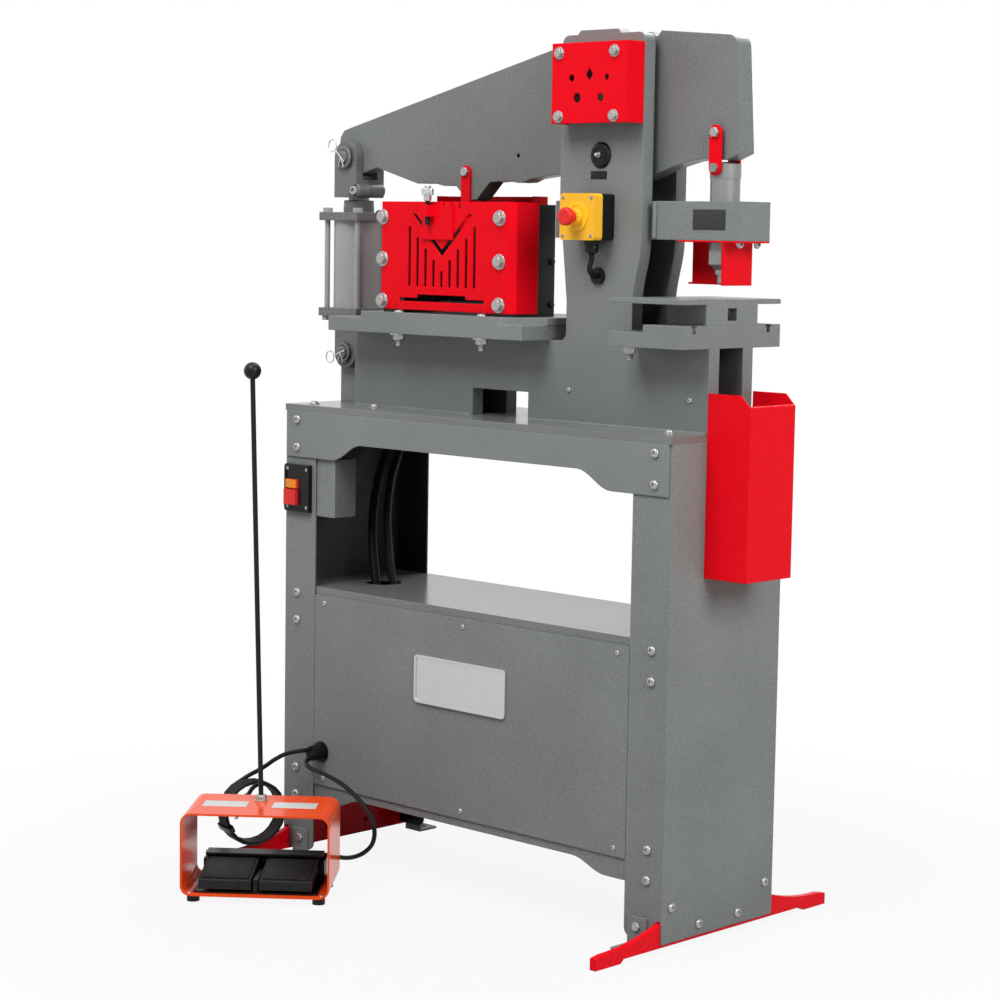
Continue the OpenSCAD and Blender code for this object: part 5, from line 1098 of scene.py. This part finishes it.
for dx in (-1, 1):
    for dz in (-1, 1):
        corner = Vector((dx * (switch_w / 2 - switch_screw_x), 0, dz * (switch_h / 2 - switch_screw_z)))
        button_head(bm, seat(switch_mid + corner, (0, -1, 0)), switch_screw_r, switch_screw_h)
piece("switch_screws", bm, "machine", zinc)
print("switch plate m:", round(switch_w, 3), "x", round(switch_h, 3))

# %% [markdown]
# Small plates and caps finish the post: a cap with a grease nipple over the pivot, a bare black plate under it,
# and a bare dark plate on the guide block. The badge on the cabinet is a bare satin plate with a raised rim.

# %% Caps and bare plates
cap_sunk, cap_rim_h, cap_rim_out, cap_rim_in, cap_sides = 0.0006, 0.0014, 0.66, 0.5, 40
low_plate_w, low_plate_h, low_plate_t, low_plate_at = 0.035, 0.013, 0.001, (0.2125, 1.2375)
block_plate_w, block_plate_h, block_plate_t, block_plate_at = 0.066, 0.032, 0.0009, (0.433, 1.167)
plate_soft, nipple_hex_r, nipple_hex_h, nipple_len = 0.0003, 0.0048, 0.004, 0.0104
cap = min(islands("grease_cap"), key=lambda b: b[0].y)
cap_mid, cap_r = (cap[0] + cap[1]) / 2, (cap[1].x - cap[0].x) / 2
cap_seat = seat((cap_mid.x, cap[0].y + cap_sunk, cap_mid.z), (0, -1, 0))
bm = bmesh.new()
frame_ring(bm, circle(cap_rim_out * cap_r, cap_sides), circle(cap_rim_in * cap_r, cap_sides), cap_seat, cap_rim_h)
flat(bm, rounded(low_plate_w, low_plate_h, 0.001, 2),
     seat((low_plate_at[0], plate_front, low_plate_at[1]), (0, -1, 0)), low_plate_t, plate_soft)
piece("cap_rim_and_bare_plate", bm, "machine", black_plastic)
bm = bmesh.new()
flat(bm, hexagon(nipple_hex_r), cap_seat, nipple_hex_h, 0.0006)
turned(bm, [(0.0, nipple_hex_h), (0.003, nipple_hex_h), (0.0024, 0.0055), (0.0024, 0.0065), (0.0032, 0.0078),
            (0.003, 0.0092), (0.0018, 0.0102), (0.0, nipple_len)], cap_seat, 18)
piece("grease_nipple", bm, "machine", zinc)
block_lo, block_hi = (Vector(v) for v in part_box("guide_block"))
bm = bmesh.new()
flat(bm, rounded(block_plate_w, block_plate_h, 0.0012, 2),
     seat((block_plate_at[0], block_lo.y, block_plate_at[1]), (0, -1, 0)), block_plate_t, plate_soft)
piece("block_bare_plate", bm, "machine", dark_enamel)
badge_lo, badge_hi = (Vector(v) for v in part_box("badge_plate"))
badge_mid = (badge_lo + badge_hi) / 2
badge_w, badge_h = badge_hi.x - badge_lo.x, badge_hi.z - badge_lo.z
badge_r, badge_inner_r, badge_rim, badge_rim_h = 0.008, 0.005, 0.0045, 0.0016
bm = bmesh.new()
frame_ring(bm, rounded(badge_w, badge_h, badge_r),
           rounded(badge_w - 2 * badge_rim, badge_h - 2 * badge_rim, badge_inner_r),
           seat((badge_mid.x, badge_lo.y + sunk, badge_mid.z), (0, -1, 0)), badge_rim_h)
piece("badge_rim", bm, "machine", silver_face)
print("badge m:", round(badge_w, 3), "x", round(badge_h, 3))

# %% [markdown]
# Fillet welds run where the guide block meets the post, and along the side plates where these meet the table, the
# bed and the bolster. A tube whose radius swells and shrinks gives their ripple.

# %% Welds
weld_ripple, weld_wave, weld_least, weld_swell = 0.004, 3, 0.8, 0.2
block_weld_r, frame_weld_r, weld_end = 0.0042, 0.0038, 0.003
block_x, block_weld_out, block_weld_end = 0.3205, 0.0015, 0.002
notch_x0, notch_x1 = -0.070, 0.062


def weld(bm, start, end, r):
    steps = max(6, int((end - start).length / weld_ripple) * weld_wave)
    line = [start.lerp(end, k / steps) for k in range(steps + 1)]
    swell = [r * (weld_least + weld_swell * abs(math.sin(math.pi * k / weld_wave))) for k in range(steps + 1)]
    tube(bm, line, swell, 10)


bm = bmesh.new()
for y in (block_lo.y - block_weld_out, block_hi.y + block_weld_out):
    weld(bm, Vector((block_x, y, block_lo.z + block_weld_end)), Vector((block_x, y, block_hi.z - block_weld_end)),
         block_weld_r)
piece("block_welds", bm, "machine", grey_enamel)
plate_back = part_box("rear_side_plate")[1][1]
plate_x0, plate_x1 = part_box("front_side_plate")[0][0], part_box("front_side_plate")[1][0]
bed_lo, bed_hi = (Vector(v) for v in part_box("shear_bed"))
bolster_lo, bolster_hi = (Vector(v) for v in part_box("bolster_plate"))
bm = bmesh.new()
for y in (plate_front, plate_back):
    for z, x0, x1 in ((table_top, plate_x0, notch_x0), (table_top, notch_x1, plate_x1),
                      (bed_lo.z, bed_lo.x, bed_hi.x), (bolster_lo.z, bolster_lo.x, bolster_hi.x)):
        weld(bm, Vector((x0 + weld_end, y, z)), Vector((x1 - weld_end, y, z)), frame_weld_r)
piece("frame_welds", bm, "machine", grey_enamel)
print("welds: 2 on the block, 8 along the side plates")

# %% [markdown]
# The thumbscrew sets the hold-down's height. On the real machine it has a bright fluted knob on a black threaded
# shank, so it becomes two pieces that ride on the same turning body. The knob's outline is a circle with lobes,
# and the thread is the same stack of rings as on the studs.

# %% Thumbscrew
lobes, lobe_depth, lobe_points, knob_h, knob_cap, neck_len = 8, 0.0011, 96, 0.011, 0.016, 0.010
thread_r, thread_in = 0.0046, 0.009
screw_lo, screw_hi = (Vector(v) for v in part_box("thumbscrew"))
screw_mid = (screw_lo + screw_hi) / 2
knob_out, knob_low = (screw_hi.x - screw_lo.x) / 2, screw_hi.z - knob_cap


def lobed(a):
    r = knob_out - lobe_depth + lobe_depth * math.cos(lobes * a)
    return r * math.cos(a), r * math.sin(a)


at = seat((screw_mid.x, screw_mid.y, knob_low), (0, 0, 1))
bm = bmesh.new()
flat(bm, [lobed(2 * math.pi * k / lobe_points) for k in range(lobe_points)], at, knob_h, 0.0014)
turned(bm, [(0.0, knob_h), (0.006, knob_h), (0.006, 0.0148), (0.005, knob_cap), (0.0, knob_cap)], at)
turned(bm, [(0.0, -neck_len), (0.0062, -neck_len), (0.0068, -0.009), (0.0068, 0.0), (0.0, 0.0)], at)
knob = piece("thumb_knob", bm, "thumbscrew", bright_steel)
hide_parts("thumbscrew")
bm = bmesh.new()
thread_top = knob_low - thread_in
stud_end(bm, seat((screw_mid.x, screw_mid.y, thread_top), (0, 0, -1)), thread_r, thread_top - screw_lo.z)
piece("thumb_thread", bm, "thumbscrew", black_enamel)
print("thumbscrew height m:", round(screw_hi.z - screw_lo.z, 4))

# %% [markdown]
# The foot pedal has a grip pad on each treadle, a bright nut where the carrying rod is fixed, screws in its floor
# and two bare pale plates on its top. The pads follow the treadles' slope, so they are built in the pedal's own
# turned directions, in millimetres, and ride on the treadles.

# %% Pedal trim
tread_in, tread_w, tread_front, tread_back = 7, 90, 6, 113
tread_top_front, tread_top_back, pad_in, pad_rise = 41, 55, 5, 1.4
nut_x, nut_y, pedal_floor, pad_short, pad_corner, pad_soft = -6, 116, 15.5, 4, 0.004, 0.0007
pedal_washer_r, pedal_washer_t, pedal_nut_r, pedal_nut_h = 0.0125, 0.0016, 0.0102, 0.0085
pedal_screw_r, pedal_screw_h = 0.004, 0.0022
pedal_screw_xs, pedal_screw_ys = (-113, 113), (9, 140)
pedal_plate_xs, pedal_plate_y, pedal_plate_w, pedal_plate_h = (-62, 58), 80, 0.076, 0.042
pedal_plate_r, pedal_plate_t, pedal_plate_soft = 0.002, 0.0004, 0.0001
slope = (tread_top_back - tread_top_front) / (tread_back - tread_front)
along = (pedal_y + Vector((0, 0, slope))).normalized()
pad_w, pad_len = tread_w - 2 * pad_in, tread_back - tread_front - 2 * pad_in - pad_short
for side, body in ((-1, "left_treadle"), (1, "right_treadle")):
    mid_x, mid_y = side * (tread_in + tread_w / 2), (tread_front + tread_back) / 2
    mid_z = tread_top_front + slope * (mid_y - tread_front)
    at = Matrix((pedal_x, along, pedal_x.cross(along))).transposed().to_4x4()
    at.translation = on_pedal(mid_x, mid_y, mid_z)
    bm = bmesh.new()
    flat(bm, rounded(pad_w / mm_in_m, pad_len / mm_in_m, pad_corner), at, pad_rise / mm_in_m, pad_soft)
    piece("grip_pad_" + body, bm, body, grip_rubber)
guard_top = mm_in_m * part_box("pedal_guard")[1][2]
bm = bmesh.new()
nut_seat = washer(bm, seat(on_pedal(nut_x, nut_y, guard_top), (0, 0, 1)), pedal_washer_r, pedal_washer_t)
hex_head(bm, nut_seat, pedal_nut_r, pedal_nut_h)
for x in pedal_screw_xs:
    for y in pedal_screw_ys:
        button_head(bm, seat(on_pedal(x, y, pedal_floor), (0, 0, 1)), pedal_screw_r, pedal_screw_h)
piece("pedal_nut_and_screws", bm, "machine", zinc)
bm = bmesh.new()
top_frame = Matrix((pedal_x, pedal_y, Vector((0, 0, 1)))).transposed().to_4x4()
for x in pedal_plate_xs:
    top_frame.translation = on_pedal(x, pedal_plate_y, guard_top)
    flat(bm, rounded(pedal_plate_w, pedal_plate_h, pedal_plate_r, 3), top_frame.copy(), pedal_plate_t,
         pedal_plate_soft)
piece("pedal_bare_plates", bm, "machine", blank_white)
print("pedal trim: 2 pads, 2 bare plates")
